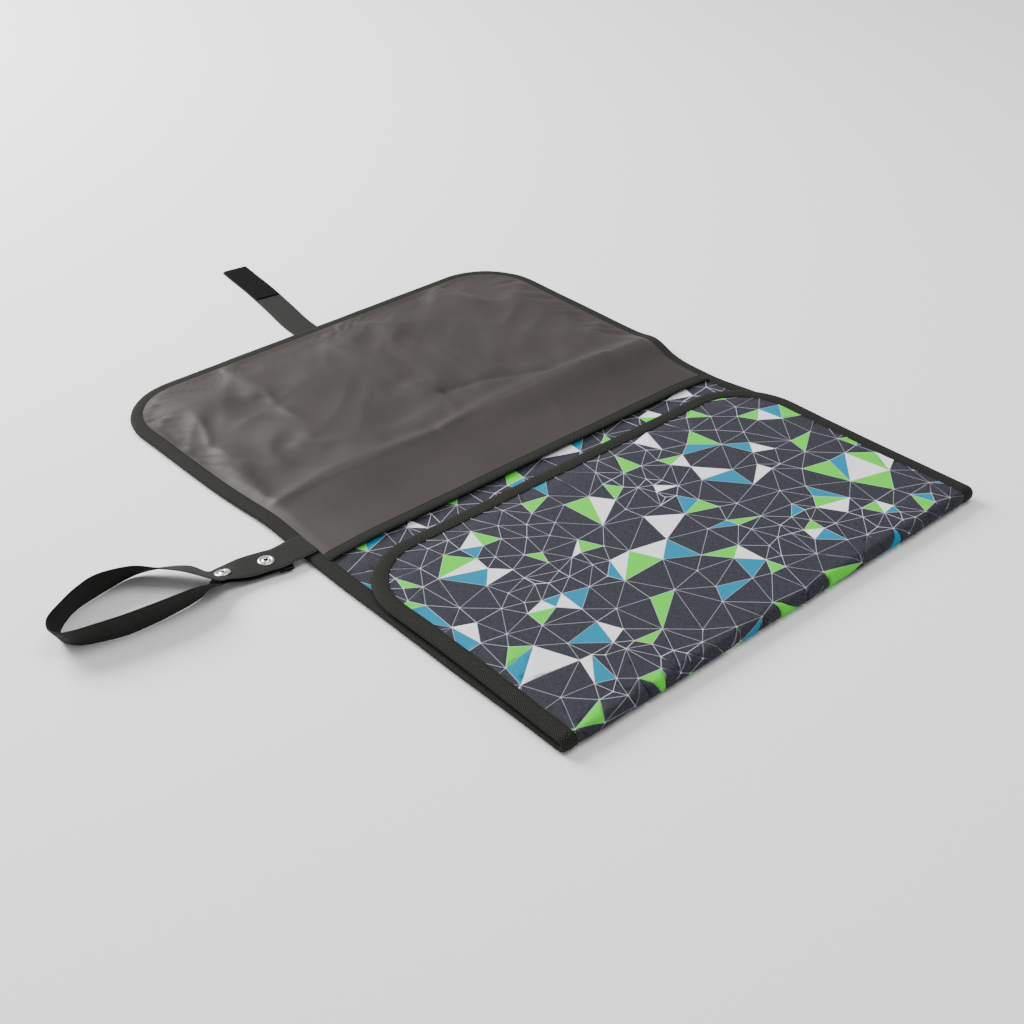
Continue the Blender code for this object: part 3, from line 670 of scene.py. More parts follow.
inner_cloth_back, flat = cut_cloth(
    "inner_cloth_back",
    inner_net,
    round_outline(-0.12, flap_edge_y - SEAM, flap_edge_y, SEAM),
    0.0052,
)
x, y = flat.T
edge = inset(x, y, flap_edge_y)
swollen = mat_top_height(x, np.clip(y, fold_y + 0.012, None)) + 0.0006
level = PANEL_MIDDLE + SEWN_HALF + 0.0002
z = level + (np.where(np.isnan(swollen), level, swollen) - level) * smooth(edge, 0.0122, 0.024)
covered = 1 - smooth(y, 0.070, 0.095)
z = np.minimum(z, 0.0062 + 0.0012 * (1 - covered))
joined = smooth(-y, 0.095, 0.12)
z_joined = 0.0060 - 0.0008 * (1 - smooth(edge, 0.0105, 0.024))
z = z * (1 - joined) + z_joined * joined
move_points(inner_cloth_back, np.column_stack(lie(x, y, z)))

print_cloth = Finish("printed_polyester", "printed_cloth", (0.05, 0.052, 0.070), 0.85)
print_cloth.shader.inputs["Specular IOR Level"].default_value = 0.12
u, v, _ = print_cloth.split(print_cloth.flat_place())
streaks = print_cloth.grain(print_cloth.join(u * 260.0, v * 2600.0), 1.0, 2.0, 0.6)
cross_streaks = print_cloth.grain(print_cloth.join(u * 2200.0, v * 420.0, 4.0), 1.0, 2.0, 0.6)
heather = (streaks * 0.65 + cross_streaks * 0.35).ramp(0.34, 0.68)
ground = print_cloth.mix(heather, (0.022, 0.0222, 0.0295, 1.0), (0.050, 0.0505, 0.064, 1.0))
line_one, line_two, line_three = print_cloth.split(print_cloth.attribute("lines", "Vector"))
nearest_line = line_one.least(line_two).least(line_three)
drawn_line = 1.0 - nearest_line.ramp(0.00010, 0.00034)
dot = 1.0 - print_cloth.attribute("knot").ramp(0.0004, 0.0010)
filled = print_cloth.attribute("filled")
inked = print_cloth.mix(filled, ground, print_cloth.attribute("fill", "Color"))
worn = print_cloth.mix((1.0 - heather) * 0.30, inked, (0.45, 0.46, 0.52, 1.0), "MULTIPLY")
lined = print_cloth.mix(drawn_line * 0.42, worn, (0.50, 0.48, 0.58, 1.0))
dotted = print_cloth.mix(dot * 0.6, lined, (0.72, 0.71, 0.80, 1.0))
print_cloth.send("Base Color", dotted)
weave = (u * (2 * math.pi / 0.00062)).sine() * (v * (2 * math.pi / 0.00062)).sine()
print_cloth.bump(weave * 0.35 + streaks * 0.65, 0.00008, 0.6)

for piece, body, ends, nodes, flat_size in (
    (
        outer_cloth_front,
        "front",
        ((0.0, fold_y, 0.0022), (0.0, fold_y, 0.0106)),
        ("front_outer_shell", "bottom_fold_shell"),
        (2 * (half_width - SEAM), front_edge_y - SEAM - split_flat),
    ),
    (
        outer_cloth_back,
        "flap",
        ((0.0, strip_start, 0.0), (0.0, strip_end, 0.0)),
        ("back_outer_shell", "flap_fold_shell", "flap_outer_shell"),
        (2 * (half_width - SEAM), flap_edge_y - SEAM - SPLIT_Y),
    ),
    (
        inner_cloth_front,
        "front",
        ((0.0, fold_y, 0.0062), (0.0, fold_y, 0.0066)),
        ("front_inner_lining", "bottom_fold_lining"),
        (2 * (half_width - SEAM), front_edge_y - SEAM - 2 * CREASE_Y - 0.12),
    ),
    (
        inner_cloth_back,
        "flap",
        ((0.0, strip_start, 0.0), (0.0, strip_end, 0.0)),
        ("back_inner_lining", "flap_fold_lining", "flap_inner_lining"),
        (2 * (half_width - SEAM), flap_edge_y - SEAM + 0.12),
    ),
):
    deselect()
    piece.select_set(True)
    bpy.context.view_layer.objects.active = piece
    bpy.ops.object.shade_smooth()
    print_cloth.put_on(piece)
    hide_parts(*nodes)
    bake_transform(piece)
    pad_below = "front_wadding" if body == "front" else "mat_wadding"


# ---------------------------------------------------------------- Edge tape
# Black herringbone twill tape, folded over the raw edges and sewn through with one row
# of stitches near its inner edge. It runs round both panels and the bottom fold.
TAPE_HALF = 0.0028
# Distance in from the edge, and height as a share of the tape's half thickness
TAPE_PROFILE = [
    (TAPE_WIDTH - 0.0004, 0.52),
    (TAPE_WIDTH, 0.78),
    (TAPE_WIDTH - 0.0004, 0.98),
    (0.0119, 1.02),
    (0.0115, 0.97),
    (0.0111, 0.92),
    (0.0106, 0.97),
    (0.0098, 1.00),
    (0.0080, 1.04),
    (0.0060, 1.05),
    (0.0040, 1.02),
    (0.0024, 0.92),
    (0.0012, 0.72),
    (0.0004, 0.42),
    (0.0, 0.0),
]


def tape_section():
    """The whole profile with its run across the tape: over, round the edge, and under."""
    upper = TAPE_PROFILE
    under = [(d, -h) for d, h in reversed(upper[:-1])]
    profile = upper + under
    run, across = 0.0, [0.0]
    for (d0, h0), (d1, h1) in zip(profile, profile[1:]):
        run += math.hypot(d1 - d0, (h1 - h0) * TAPE_HALF)
        across.append(run)
    middle = across[len(upper) - 1]
    return profile, [a - middle for a in across]


def panel_path(y_from, edge_y, step):
    """Points round a panel's edge from its left side to its right, each with the direction
    that points into the panel."""
    path = []
    straight = edge_y - CORNER
    count = round((straight - y_from) / step)
    path += [((-half_width, y_from + (straight - y_from) * i / count), (1.0, 0.0)) for i in range(count)]
    arc = round(CORNER * math.pi / 2 / step)
    for i in range(arc):
        t = math.pi / 2 * i / arc
        way = (math.cos(t), -math.sin(t))
        path.append(((-half_width + CORNER - CORNER * way[0], straight - CORNER * way[1]), way))
    across = 2 * (half_width - CORNER)
    count = round(across / step)
    path += [((-half_width + CORNER + across * i / count, edge_y), (0.0, -1.0)) for i in range(count)]
    for i in range(arc):
        t = math.pi / 2 * i / arc
        way = (-math.sin(t), -math.cos(t))
        path.append(((half_width - CORNER - CORNER * way[0], straight - CORNER * way[1]), way))
    count = round((straight - y_from) / step)
    path += [
        ((half_width, straight - (straight - y_from) * i / count), (-1.0, 0.0)) for i in range(count + 1)
    ]
    return path


def loft(name, rings, lengths, across, close_ends=True):
    """A skin over rings of points, with its own length and breadth stored as its flat map."""
    mesh = bpy.data.meshes.new(name)
    size = len(rings[0])
    verts = [tuple(p) for ring in rings for p in ring]
    faces, maps = [], []
    for i in range(len(rings) - 1):
        for j in range(size - 1):
            a, b = i * size + j, (i + 1) * size + j
            faces.append((a, a + 1, b + 1, b))
            maps += [
                (lengths[i], across[j]),
                (lengths[i], across[j + 1]),
                (lengths[i + 1], across[j + 1]),
                (lengths[i + 1], across[j]),
            ]
    if close_ends:
        faces.append(tuple(reversed(range(size))))
        maps += [(lengths[0], across[j]) for j in reversed(range(size))]
        faces.append(tuple((len(rings) - 1) * size + j for j in range(size)))
        maps += [(lengths[-1], across[j]) for j in range(size)]
    mesh.from_pydata(verts, [], faces)
    uv = mesh.uv_layers.new(name="cloth")
    uv.data.foreach_set("uv", np.array(maps).ravel())
    mesh.update()
    made = bpy.data.objects.new(name, mesh)
    bpy.context.scene.collection.objects.link(made)
    deselect()
    made.select_set(True)
    bpy.context.view_layer.objects.active = made
    bpy.ops.object.mode_set(mode="EDIT")
    bpy.ops.mesh.select_all(action="SELECT")
    bpy.ops.mesh.normals_make_consistent(inside=False)
    bpy.ops.object.mode_set(mode="OBJECT")
    bpy.ops.object.shade_smooth_by_angle(angle=math.radians(50))
    return made


def edge_tape(name, path, middle, settle, seed):
    """Tape round a path, with its middle height given, then settled with the mat."""
    profile, across = tape_section()
    rings, lengths, run = [], [], 0.0
    for i, ((px, py), (ix, iy)) in enumerate(path):
        if i:
            run += math.dist(path[i][0], path[i - 1][0])
        ring = []
        sway = 0.0005 * noise.noise(Vector((run * 14.0, seed, 0.0)))
        swell = 1 + 0.07 * noise.noise(Vector((run * 45.0, seed, 3.0)))
        creep = 0.0006 * noise.noise(Vector((run * 30.0, seed, 6.0)))
        for d, h in profile:
            reach = d + sway + creep * (d / TAPE_WIDTH)
            ring.append((px + ix * reach, py + iy * reach, middle + h * TAPE_HALF * swell))
        rings.append(ring)
        lengths.append(run)
    if settle:
        rings = [np.column_stack(lie(*np.array(ring).T)) for ring in rings]
    else:
        rings = [[(float(narrow(a, b)), b, c) for a, b, c in ring] for ring in rings]
    return loft(name, rings, lengths, across)


mat_binding = edge_tape(
    "mat_binding", panel_path(fold_y, flap_edge_y, 0.0035), PANEL_MIDDLE, True, 1.0
)
front_binding_tape = edge_tape(
    "front_binding_tape", panel_path(fold_y, front_edge_y, 0.0035), FRONT_MIDDLE, False, 2.0
)


def fold_tape(name, side):
    """The tape round the end of the bottom fold, from the front panel's edge down to the
    back panel's."""
    profile, across = tape_section()
    rings, lengths = [], []
    for i in range(13):
        turn = math.pi * i / 12
        ring = []
        middle_radius = (FRONT_MIDDLE - fold_z) * (1 - i / 12) + (fold_z - PANEL_MIDDLE) * (i / 12)
        for d, h in profile:
            radius = middle_radius + h * TAPE_HALF
            ring.append(
                (
                    side * (half_width - d),
                    fold_y - radius * math.sin(turn) * 0.97,
                    fold_z + radius * math.cos(turn),
                )
            )
        rings.append(ring)
        lengths.append(middle_radius * turn)
    return loft(name, rings, lengths, across)


fold_binding_left = fold_tape("fold_binding_left", -1)
fold_binding_right = fold_tape("fold_binding_right", 1)

twill = Finish("twill_tape", "black_tape", (0.011, 0.012, 0.010), 0.86)
twill.shader.inputs["Specular IOR Level"].default_value = 0.14
u, v, _ = twill.split(twill.flat_place())
chevron = v.folded(0.0032)
rows = ((u + chevron * 0.9) * (2 * math.pi / 0.0016)).sine() * 0.5 + 0.5
yarn = twill.grain(twill.join(u * 2100.0, v * 900.0), 1.0, 2.0, 0.6)
cloth_tone = (rows * 0.6 + yarn * 0.55).ramp(0.2, 0.95)
tape_colour = twill.mix(cloth_tone, (0.0016, 0.0018, 0.0014, 1.0), (0.031, 0.0330, 0.0270, 1.0))
stitch_line = 1.0 - abs(abs(v) - 0.0123).ramp(0.00018, 0.0005)
stitch_run = u.wrapped(0.0030) / 0.0030
stitch = stitch_line * (stitch_run.ramp(0.08, 0.22) - stitch_run.ramp(0.80, 0.94))
twill.send("Base Color", twill.mix(stitch * 0.8, tape_colour, (0.0085, 0.009, 0.008, 1.0)))
twill.bump(rows * 0.7 + yarn * 0.4 + stitch * 1.3 - stitch_line * 0.7, 0.00035, 0.9)

for piece, nodes in (
    (
        mat_binding,
        (
            "back_binding_left",
            "back_binding_right",
            "flap_fold_binding_left",
            "flap_fold_binding_right",
            "flap_binding",
        ),
    ),
    (front_binding_tape, ("front_binding",)),
    (fold_binding_left, ("bottom_fold_binding_left",)),
    (fold_binding_right, ("bottom_fold_binding_right",)),
):
    twill.put_on(piece)
    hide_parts(*nodes)
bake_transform(mat_binding)
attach(front_binding_tape, "front")
for piece in (fold_binding_left, fold_binding_right):
    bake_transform(piece)


# ---------------------------------------------------------------- Slip pocket
# One piece of thin satin nylon, caught under the tape round the flap and left open at its
# mouth. It is slack, so it lies in creases that run out from its sewn edges.
mouth_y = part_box("pocket_mouth_binding")[0].y
NYLON_EDGE = 0.0108
NYLON_STAND = 0.0030
# Creases in the nylon: from and to, half breadth, and height
CREASES = [
    ((-0.205, 0.187), (-0.040, 0.183), 0.0030, 0.0034),
    ((-0.040, 0.183), (0.160, 0.184), 0.0030, 0.0034),
    ((-0.015, 0.375), (-0.009, 0.270), 0.0070, 0.0029),
    ((-0.009, 0.270), (0.005, 0.236), 0.0050, 0.0021),
    ((0.005, 0.236), (0.115, 0.192), 0.0030, -0.0017),
    ((0.005, 0.236), (0.045, 0.190), 0.0025, -0.0015),
    ((0.005, 0.236), (-0.010, 0.194), 0.0025, 0.0013),
    ((-0.108, 0.380), (-0.110, 0.312), 0.0045, 0.0021),
    ((-0.110, 0.312), (-0.122, 0.243), 0.0040, 0.0029),
    ((-0.171, 0.352), (-0.190, 0.292), 0.0040, 0.0025),
    ((-0.190, 0.292), (-0.187, 0.262), 0.0040, 0.0023),
    ((-0.143, 0.252), (-0.082, 0.197), 0.0050, 0.0025),
    ((-0.195, 0.260), (-0.204, 0.196), 0.0035, 0.0021),
    ((-0.203, 0.357), (-0.129, 0.346), 0.0065, 0.0027),
    ((-0.129, 0.346), (-0.105, 0.329), 0.0060, 0.0021),
    ((0.030, 0.392), (0.055, 0.330), 0.0060, 0.0021),
    ((0.110, 0.388), (0.150, 0.340), 0.0060, 0.0023),
    ((0.150, 0.372), (0.172, 0.330), 0.0050, -0.0021),
    ((0.190, 0.235), (0.120, 0.205), 0.0060, 0.0017),
    ((0.070, 0.178), (0.050, 0.122), 0.0060, 0.0008),
]
# Soft hollows and swellings in the nylon: centre, half lengths, and height
SWELLINGS = [
    ((-0.121, 0.322), (0.022, 0.014), -0.0030),
    ((-0.152, 0.216), (0.030, 0.015), -0.0033),
    ((-0.172, 0.315), (0.016, 0.024), -0.0024),
    ((-0.150, 0.270), (0.034, 0.018), 0.0018),
    ((0.060, 0.340), (0.050, 0.030), -0.0015),
    ((-0.050, 0.300), (0.035, 0.045), 0.0015),
    ((0.120, 0.280), (0.050, 0.040), 0.0018),
    ((0.000, 0.210), (0.150, 0.014), 0.0018),
    ((0.150, 0.160), (0.050, 0.020), 0.0009),
    ((-0.160, 0.140), (0.040, 0.022), -0.0008),
]


def crease_height(x, y, start, end, breadth, height):
    """A ridge along a line that dies away at both ends."""
    run = np.array(end) - np.array(start)
    length = np.hypot(*run)
    run /= length
    along = (x - start[0]) * run[0] + (y - start[1]) * run[1]
    bow = 0.06 * length * np.sin(np.clip(along / length, 0.0, 1.0) * math.pi)
    off = np.abs((x - start[0]) * run[1] - (y - start[1]) * run[0] + bow)
    fade = smooth(along, -breadth, 3 * breadth) * (1 - smooth(along, length - 3 * breadth, length + breadth))
    sharp, wide = np.exp(-off / breadth), np.exp(-((off / (2.5 * breadth)) ** 2))
    return 1.25 * height * fade * (0.7 * sharp + 0.3 * wide)


columns, rows = 150, 112
side = half_width - NYLON_EDGE
deselect()
bpy.ops.mesh.primitive_grid_add(x_subdivisions=columns, y_subdivisions=rows, size=1.0)
pocket_cloth = bpy.context.object
pocket_cloth.name = "pocket_cloth"
points = points_of(pocket_cloth)
x = points[:, 0] * 2 * side
y = mouth_y + 0.0012 + (points[:, 1] + 0.5) * (flap_edge_y - NYLON_EDGE - mouth_y - 0.0012)
uv = pocket_cloth.data.uv_layers.active
uv.name = "cloth"
reach = CORNER - NYLON_EDGE
corner_x, corner_y = half_width - CORNER, flap_edge_y - CORNER
across, along = np.abs(x) - corner_x, y - corner_y
in_corner = (across > 0) & (along > 0)
square = np.where(in_corner, np.maximum(across, along) / np.maximum(np.hypot(across, along), 1e-9), 1.0)
x = np.where(in_corner, np.sign(x) * (corner_x + across * square), x)
y = np.where(in_corner, corner_y + along * square, y)
edge = inset(x, y, flap_edge_y)
floor_z = PANEL_MIDDLE + TAPE_HALF * 0.72
stand = NYLON_STAND * (0.35 + 0.65 * smooth(edge, NYLON_EDGE, 0.055))
stand = stand * smooth(edge, NYLON_EDGE - 0.002, 0.019)
relief = np.zeros_like(x)
for start, end, breadth, height in CREASES:
    relief += crease_height(x, y, start, end, breadth, height)
for (cx, cy), (sx, sy), height in SWELLINGS:
    relief += height * np.exp(-(((x - cx) / sx) ** 2) - ((y - cy) / sy) ** 2)
slack = smooth(y, 0.185, 0.225)
bent = 0.02 * ripple(x, y, 0.11, 9.0)
relief += 0.0080 * (0.15 - np.abs(ripple(x + bent, 0.7 * y - bent, 0.080, 2.0, 1))) * slack
relief += 0.0024 * (0.12 - np.abs(ripple(x - 0.5 * y + bent, 0.6 * y, 0.038, 5.0, 1))) * slack
relief += 0.0005 * ripple(x, 0.5 * y, 0.05, 6.0) * (1 - slack)
angle_round = np.arctan2(np.maximum(along, 0), across + corner_x)
around = np.where(along > 0, angle_round * 0.25, 0) + y * 0.9 + x * 0.9
pucker = ripple(around, np.sign(x), 0.011, 7.0)
pucker_reach = smooth(edge, NYLON_EDGE, 0.0145) * (1 - smooth(edge, 0.020, 0.046)) * smooth(y, 0.16, 0.20)
relief += 0.0026 * pucker * pucker_reach
crest = 0.1848 - 0.012 * x
ridge = 0.0019 * np.exp(-np.abs(y - crest) / np.where(y > crest, 0.010, 0.022))
limit = np.where(relief > 0, 0.0020, 0.0034)
relief = (limit * np.tanh(relief / limit) + ridge) * smooth(edge, NYLON_EDGE, 0.019)
mouth = 1 - smooth(y, mouth_y, mouth_y + 0.05)
z = floor_z + 0.0010 + stand + relief * (1 - 0.6 * mouth)
settled = np.column_stack(lie(x, y, z))
lining = search_tree(inner_cloth_back)
for point in settled:
    hit = lining.ray_cast(Vector((point[0], point[1], 0.05)), Vector((0.0, 0.0, -1.0)))[0]
    if hit:
        point[2] = max(point[2], hit.z + 0.0004)
move_points(pocket_cloth, settled)
bpy.ops.object.shade_smooth()

nylon = Finish("satin_nylon", "pocket_nylon", (0.034, 0.031, 0.029), 0.42)
nylon.shader.inputs["Specular IOR Level"].default_value = 0.20
u, v, _ = nylon.split(nylon.place())
warp_yarn = nylon.grain(nylon.join(u * 3600.0, v * 180.0), 1.0, 2.0, 0.6)
weft_yarn = nylon.grain(nylon.join(u * 160.0, v * 3600.0), 1.0, 2.0, 0.6)
cloudy = nylon.grain(nylon.place(), 9.0, 3.0, 0.5)
nylon_tone = (warp_yarn * 0.4 + weft_yarn * 0.4 + cloudy * 0.5).ramp(0.35, 0.95)
nylon.send("Base Color", nylon.mix(nylon_tone, (0.025, 0.0215, 0.0200, 1.0), (0.047, 0.0405, 0.0375, 1.0)))
nylon.send("Roughness", cloudy * 0.10 + 0.50)
nylon.bump(warp_yarn * 0.5 + weft_yarn * 0.5, 0.00005, 0.5)
nylon.put_on(pocket_cloth)
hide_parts("pocket_mouth_panel", "pocket_fold_panel", "pocket_flap_panel")
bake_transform(pocket_cloth)

# The pocket's mouth: the same tape, folded over the nylon's free edge. Its ends are caught
# under the side bindings.
mouth_profile = [
    (0.0102, 0.15),
    (0.0104, 0.45),
    (0.0100, 0.80),
    (0.0092, 0.72),
    (0.0087, 0.62),
    (0.0082, 0.74),
    (0.0070, 0.90),
    (0.0045, 0.98),
    (0.0024, 0.92),
    (0.0010, 0.66),
    (0.0002, 0.30),
    (0.0, 0.0),
    (0.0004, -0.35),
    (0.0014, -0.60),
    (0.0040, -0.72),
    (0.0100, -0.72),
]
mouth_half = 0.0013
tree = search_tree(pocket_cloth)
rings, lengths = [], []
mouth_end = half_width - 0.0098
for i in range(121):
    x = -mouth_end + 2 * mouth_end * i / 120
    ring = []
    pulled_x, _, _ = lie(x, mouth_y, 0.0)
    hit = tree.ray_cast(Vector((float(pulled_x) * 0.996, mouth_y + 0.006, 0.05)), Vector((0.0, 0.0, -1.0)))[0]
    level = hit.z if hit else float(floor_z)
    for d, h in mouth_profile:
        sway = 0.0006 * noise.noise(Vector((x * 22.0, 4.0, 0.0)))
        ring.append((float(pulled_x), mouth_y + d + sway, level + 0.0001 + h * mouth_half))
    rings.append(ring)
    lengths.append(x)
run, across = 0.0, [0.0]
for (d0, h0), (d1, h1) in zip(mouth_profile, mouth_profile[1:]):
    run += math.hypot(d1 - d0, (h1 - h0) * mouth_half)
    across.append(run)
pocket_mouth_tape = loft("pocket_mouth_tape", rings, lengths, [a - 0.0112 for a in across])
twill.put_on(pocket_mouth_tape)
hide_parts("pocket_mouth_binding")
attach(pocket_mouth_tape, "back")


# ---------------------------------------------------------------- Closure strap
# Ribbed polypropylene webbing sewn under the tape at the middle of the flap's free edge,
# with a fuzzy hook patch on its end. Closed, it wraps round the bottom fold.
def smooth_stations(stations, steps):
    """More pairs of edge points on smooth curves through the given ones."""
    stations = [(Vector(a), Vector(b)) for a, b in stations]
    found = []
    for i in range(len(stations) - 1):
        before = stations[max(i - 1, 0)]
        after = stations[min(i + 2, len(stations) - 1)]
        for j in range(steps):
            t = j / steps
            pair = []
            for edge in range(2):
                a, b, c, d = before[edge], stations[i][edge], stations[i + 1][edge], after[edge]
                square, cube = 2 * a - 5 * b + 4 * c - d, 3 * b - a - 3 * c + d
                pair.append(0.5 * (2 * b + (c - a) * t + square * t**2 + cube * t**3))
            found.append(pair)
    return found + [list(stations[-1])]


def webbing_piece(name, stations, steps, thickness, cells=14, start_length=0.0):
    """Webbing through pairs of edge points, with rounded selvedges and its own flat map."""
    pairs = smooth_stations(stations, steps)
    rings, lengths, run = [], [], start_length
    shares = [i / cells for i in range(cells + 1)]
    for i, (near, far) in enumerate(pairs):
        middle = (near + far) / 2
        if i:
            run += (middle - (pairs[i - 1][0] + pairs[i - 1][1]) / 2).length
        before, after = pairs[max(i - 1, 0)], pairs[min(i + 1, len(pairs) - 1)]
        ahead = ((after[0] + after[1]) / 2 - (before[0] + before[1]) / 2).normalized()
        breadth = (far - near).length
        side = (far - near) / breadth
        up = ahead.cross(side)
        up.normalize()
        upper, lower = [], []
        for share in shares:
            from_selvedge = min(share, 1 - share) * breadth / (0.5 * thickness)
            rounded = thickness / 2 * min(1.0, from_selvedge**0.5 + 0.25)
            upper.append(near + side * breadth * share + up * rounded)
            lower.append(near + side * breadth * share - up * rounded)
        ring = upper + lower[::-1]
        ring.append(ring[0])
        rings.append(ring)
        lengths.append(run)
    across = [0.026 * share for share in shares]
    across = across + across[::-1] + [0.0]
    made = loft(name, rings, lengths, across)
    bpy.ops.object.mode_set(mode="EDIT")
    bpy.ops.mesh.select_all(action="SELECT")
    bpy.ops.mesh.remove_doubles(threshold=1e-6)
    bpy.ops.mesh.normals_make_consistent(inside=False)
    bpy.ops.object.mode_set(mode="OBJECT")
    return made


strap_low, strap_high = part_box("closure_strap_root")
strap_tip_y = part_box("closure_strap_tip")[1].y
strap_z = (strap_low.z + strap_high.z) / 2


def strap_station(y, x, z):
    """The strap's two edges where its middle is at x, y."""
    lean = Vector((1.0, -0.15)).normalized() * 0.013
    return ((x - lean.x, y - lean.y, z), (x + lean.x, y + lean.y, z))


strap_base = [
    strap_station(0.4085, -0.0060, strap_z + 0.0003),
    strap_station(0.4160, -0.0055, strap_z + 0.0003),
    strap_station(0.4400, -0.0030, strap_z + 0.0001),
    strap_station(0.4660, 0.0020, strap_z),
    strap_station(0.4860, 0.0056, strap_z),
    strap_station(0.5030, 0.0085, strap_z),
]
strap_end = [
    strap_station(0.5030, 0.0085, strap_z),
    strap_station(0.5230, 0.0115, strap_z),
    strap_station(0.5480, 0.0145, strap_z),
    strap_station(0.5715, 0.0176, strap_z),
]
closure_strap_base = webbing_piece("closure_strap_base", strap_base, 8, 0.0013)
closure_strap_end = webbing_piece("closure_strap_end", strap_end, 8, 0.0013, start_length=0.0946)

patch_z = (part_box("hook_patch_tip")[0].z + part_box("hook_patch_tip")[1].z) / 2 - 0.0003


def patch_station(y, x):
    lean = Vector((1.0, -0.15)).normalized() * 0.0121
    return ((x - lean.x, y - lean.y, patch_z), (x + lean.x, y + lean.y, patch_z))


hook_patch = webbing_piece(
    "hook_patch",
    [
        patch_station(0.4985, 0.0078),
        patch_station(0.5230, 0.0115),
        patch_station(0.5480, 0.0145),
        patch_station(0.5708, 0.0175),
    ],
    10,
    0.0013,
)

webbing = Finish("ribbed_webbing", "black_webbing", (0.011, 0.0115, 0.0105), 0.82)
webbing.shader.inputs["Specular IOR Level"].default_value = 0.15
u, v, _ = webbing.split(webbing.flat_place())
ribs = (v * (2 * math.pi / 0.0017)).sine() * 0.5 + 0.5
picks = (u * (2 * math.pi / 0.0010) + (v * (math.pi / 0.0017)).sine() * 2.5).sine() * 0.5 + 0.5
lint = webbing.grain(webbing.join(u * 1500.0, v * 1500.0), 1.0, 3.0, 0.7)
web_tone = (ribs * 0.5 + picks * 0.25 + lint * 0.45).ramp(0.15, 0.95)
webbing.send("Base Color", webbing.mix(web_tone, (0.0028, 0.0030, 0.0027, 1.0), (0.027, 0.0277, 0.0250, 1.0)))
webbing.bump(ribs * 0.6 + picks * 0.25 + lint * 0.25, 0.00022, 0.9)

hooks = Finish("hook_tape", "hook_and_loop", (0.010, 0.010, 0.010), 0.95)
hooks.shader.inputs["Specular IOR Level"].default_value = 0.08
pile = hooks.grain(hooks.place(), 1700.0, 3.0, 0.8)
pile_colour = hooks.mix(pile.ramp(0.35, 0.7), (0.0015, 0.0015, 0.0015, 1.0), (0.013, 0.013, 0.012, 1.0))
hooks.send("Base Color", pile_colour)
hooks.bump(pile, 0.0009, 1.0)

webbing.put_on(closure_strap_base)
webbing.put_on(closure_strap_end)
hooks.put_on(hook_patch)
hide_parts("closure_strap_root", "closure_strap_middle")
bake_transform(closure_strap_base)
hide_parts("closure_strap_tip")
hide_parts("hook_patch_middle", "hook_patch_tip")
for piece in (closure_strap_end, hook_patch):
    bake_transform(piece)


# ---------------------------------------------------------------- Loop patch
# A patch of soft loop tape on the outside of the back panel, near the bottom fold, where
# the strap's hooks reach it. It is sewn round its edge.
patch_low, patch_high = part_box("loop_patch")
deselect()
bpy.ops.mesh.primitive_cube_add(size=1.0, location=(patch_low + patch_high) / 2 + Vector((0.0, 0.0, 0.0003)))
loop_patch_pile = bpy.context.object
loop_patch_pile.name = "loop_patch_pile"
loop_patch_pile.scale = (patch_high.x - patch_low.x, patch_high.y - patch_low.y, 0.0010)
bpy.ops.object.transform_apply(location=True, rotation=True, scale=True)
rounding = loop_patch_pile.modifiers.new("rounding", "BEVEL")
rounding.width = 0.0004
rounding.segments = 3
apply_all(loop_patch_pile)
bpy.ops.object.shade_smooth_by_angle(angle=math.radians(40))
hooks.put_on(loop_patch_pile)
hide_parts("loop_patch")
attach(loop_patch_pile, "back")


# ---------------------------------------------------------------- Wrist strap
# The same webbing, sewn on top of the left binding beside the pocket's mouth. It runs out
# over two snap fasteners, loops round on its edge and comes back below them.
WRIST_Y = 0.129
WEB = 0.0012
snap_boxes = [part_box("snap_ring_" + label) for label in ("inner", "outer")]
snap_centres = [tuple((low + high) / 2) for low, high in snap_boxes]
snap_line = (Vector(snap_centres[1]) - Vector(snap_centres[0])).to_2d().normalized()
across_line = Vector((snap_line.y, -snap_line.x)) * 0.013
upper_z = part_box("snap_ring_inner")[0].z - 0.0009
lower_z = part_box("snap_stud_inner")[0].z - 0.0009


def flat_station(snap, distance, z, near_lift=0.0, far_lift=0.0):
    """The webbing's edges where it lies flat, at a distance beyond one of the snaps."""
    centre = Vector(snap[:2]) + snap_line * distance
    near, far = centre - across_line, centre + across_line
    return ((near.x, near.y, z + near_lift), (far.x, far.y, z + far_lift))


def loop_station(near, far):
    corner = Vector((-half_width, WRIST_Y, 0.0))
    return (corner + Vector(near), corner + Vector(far))


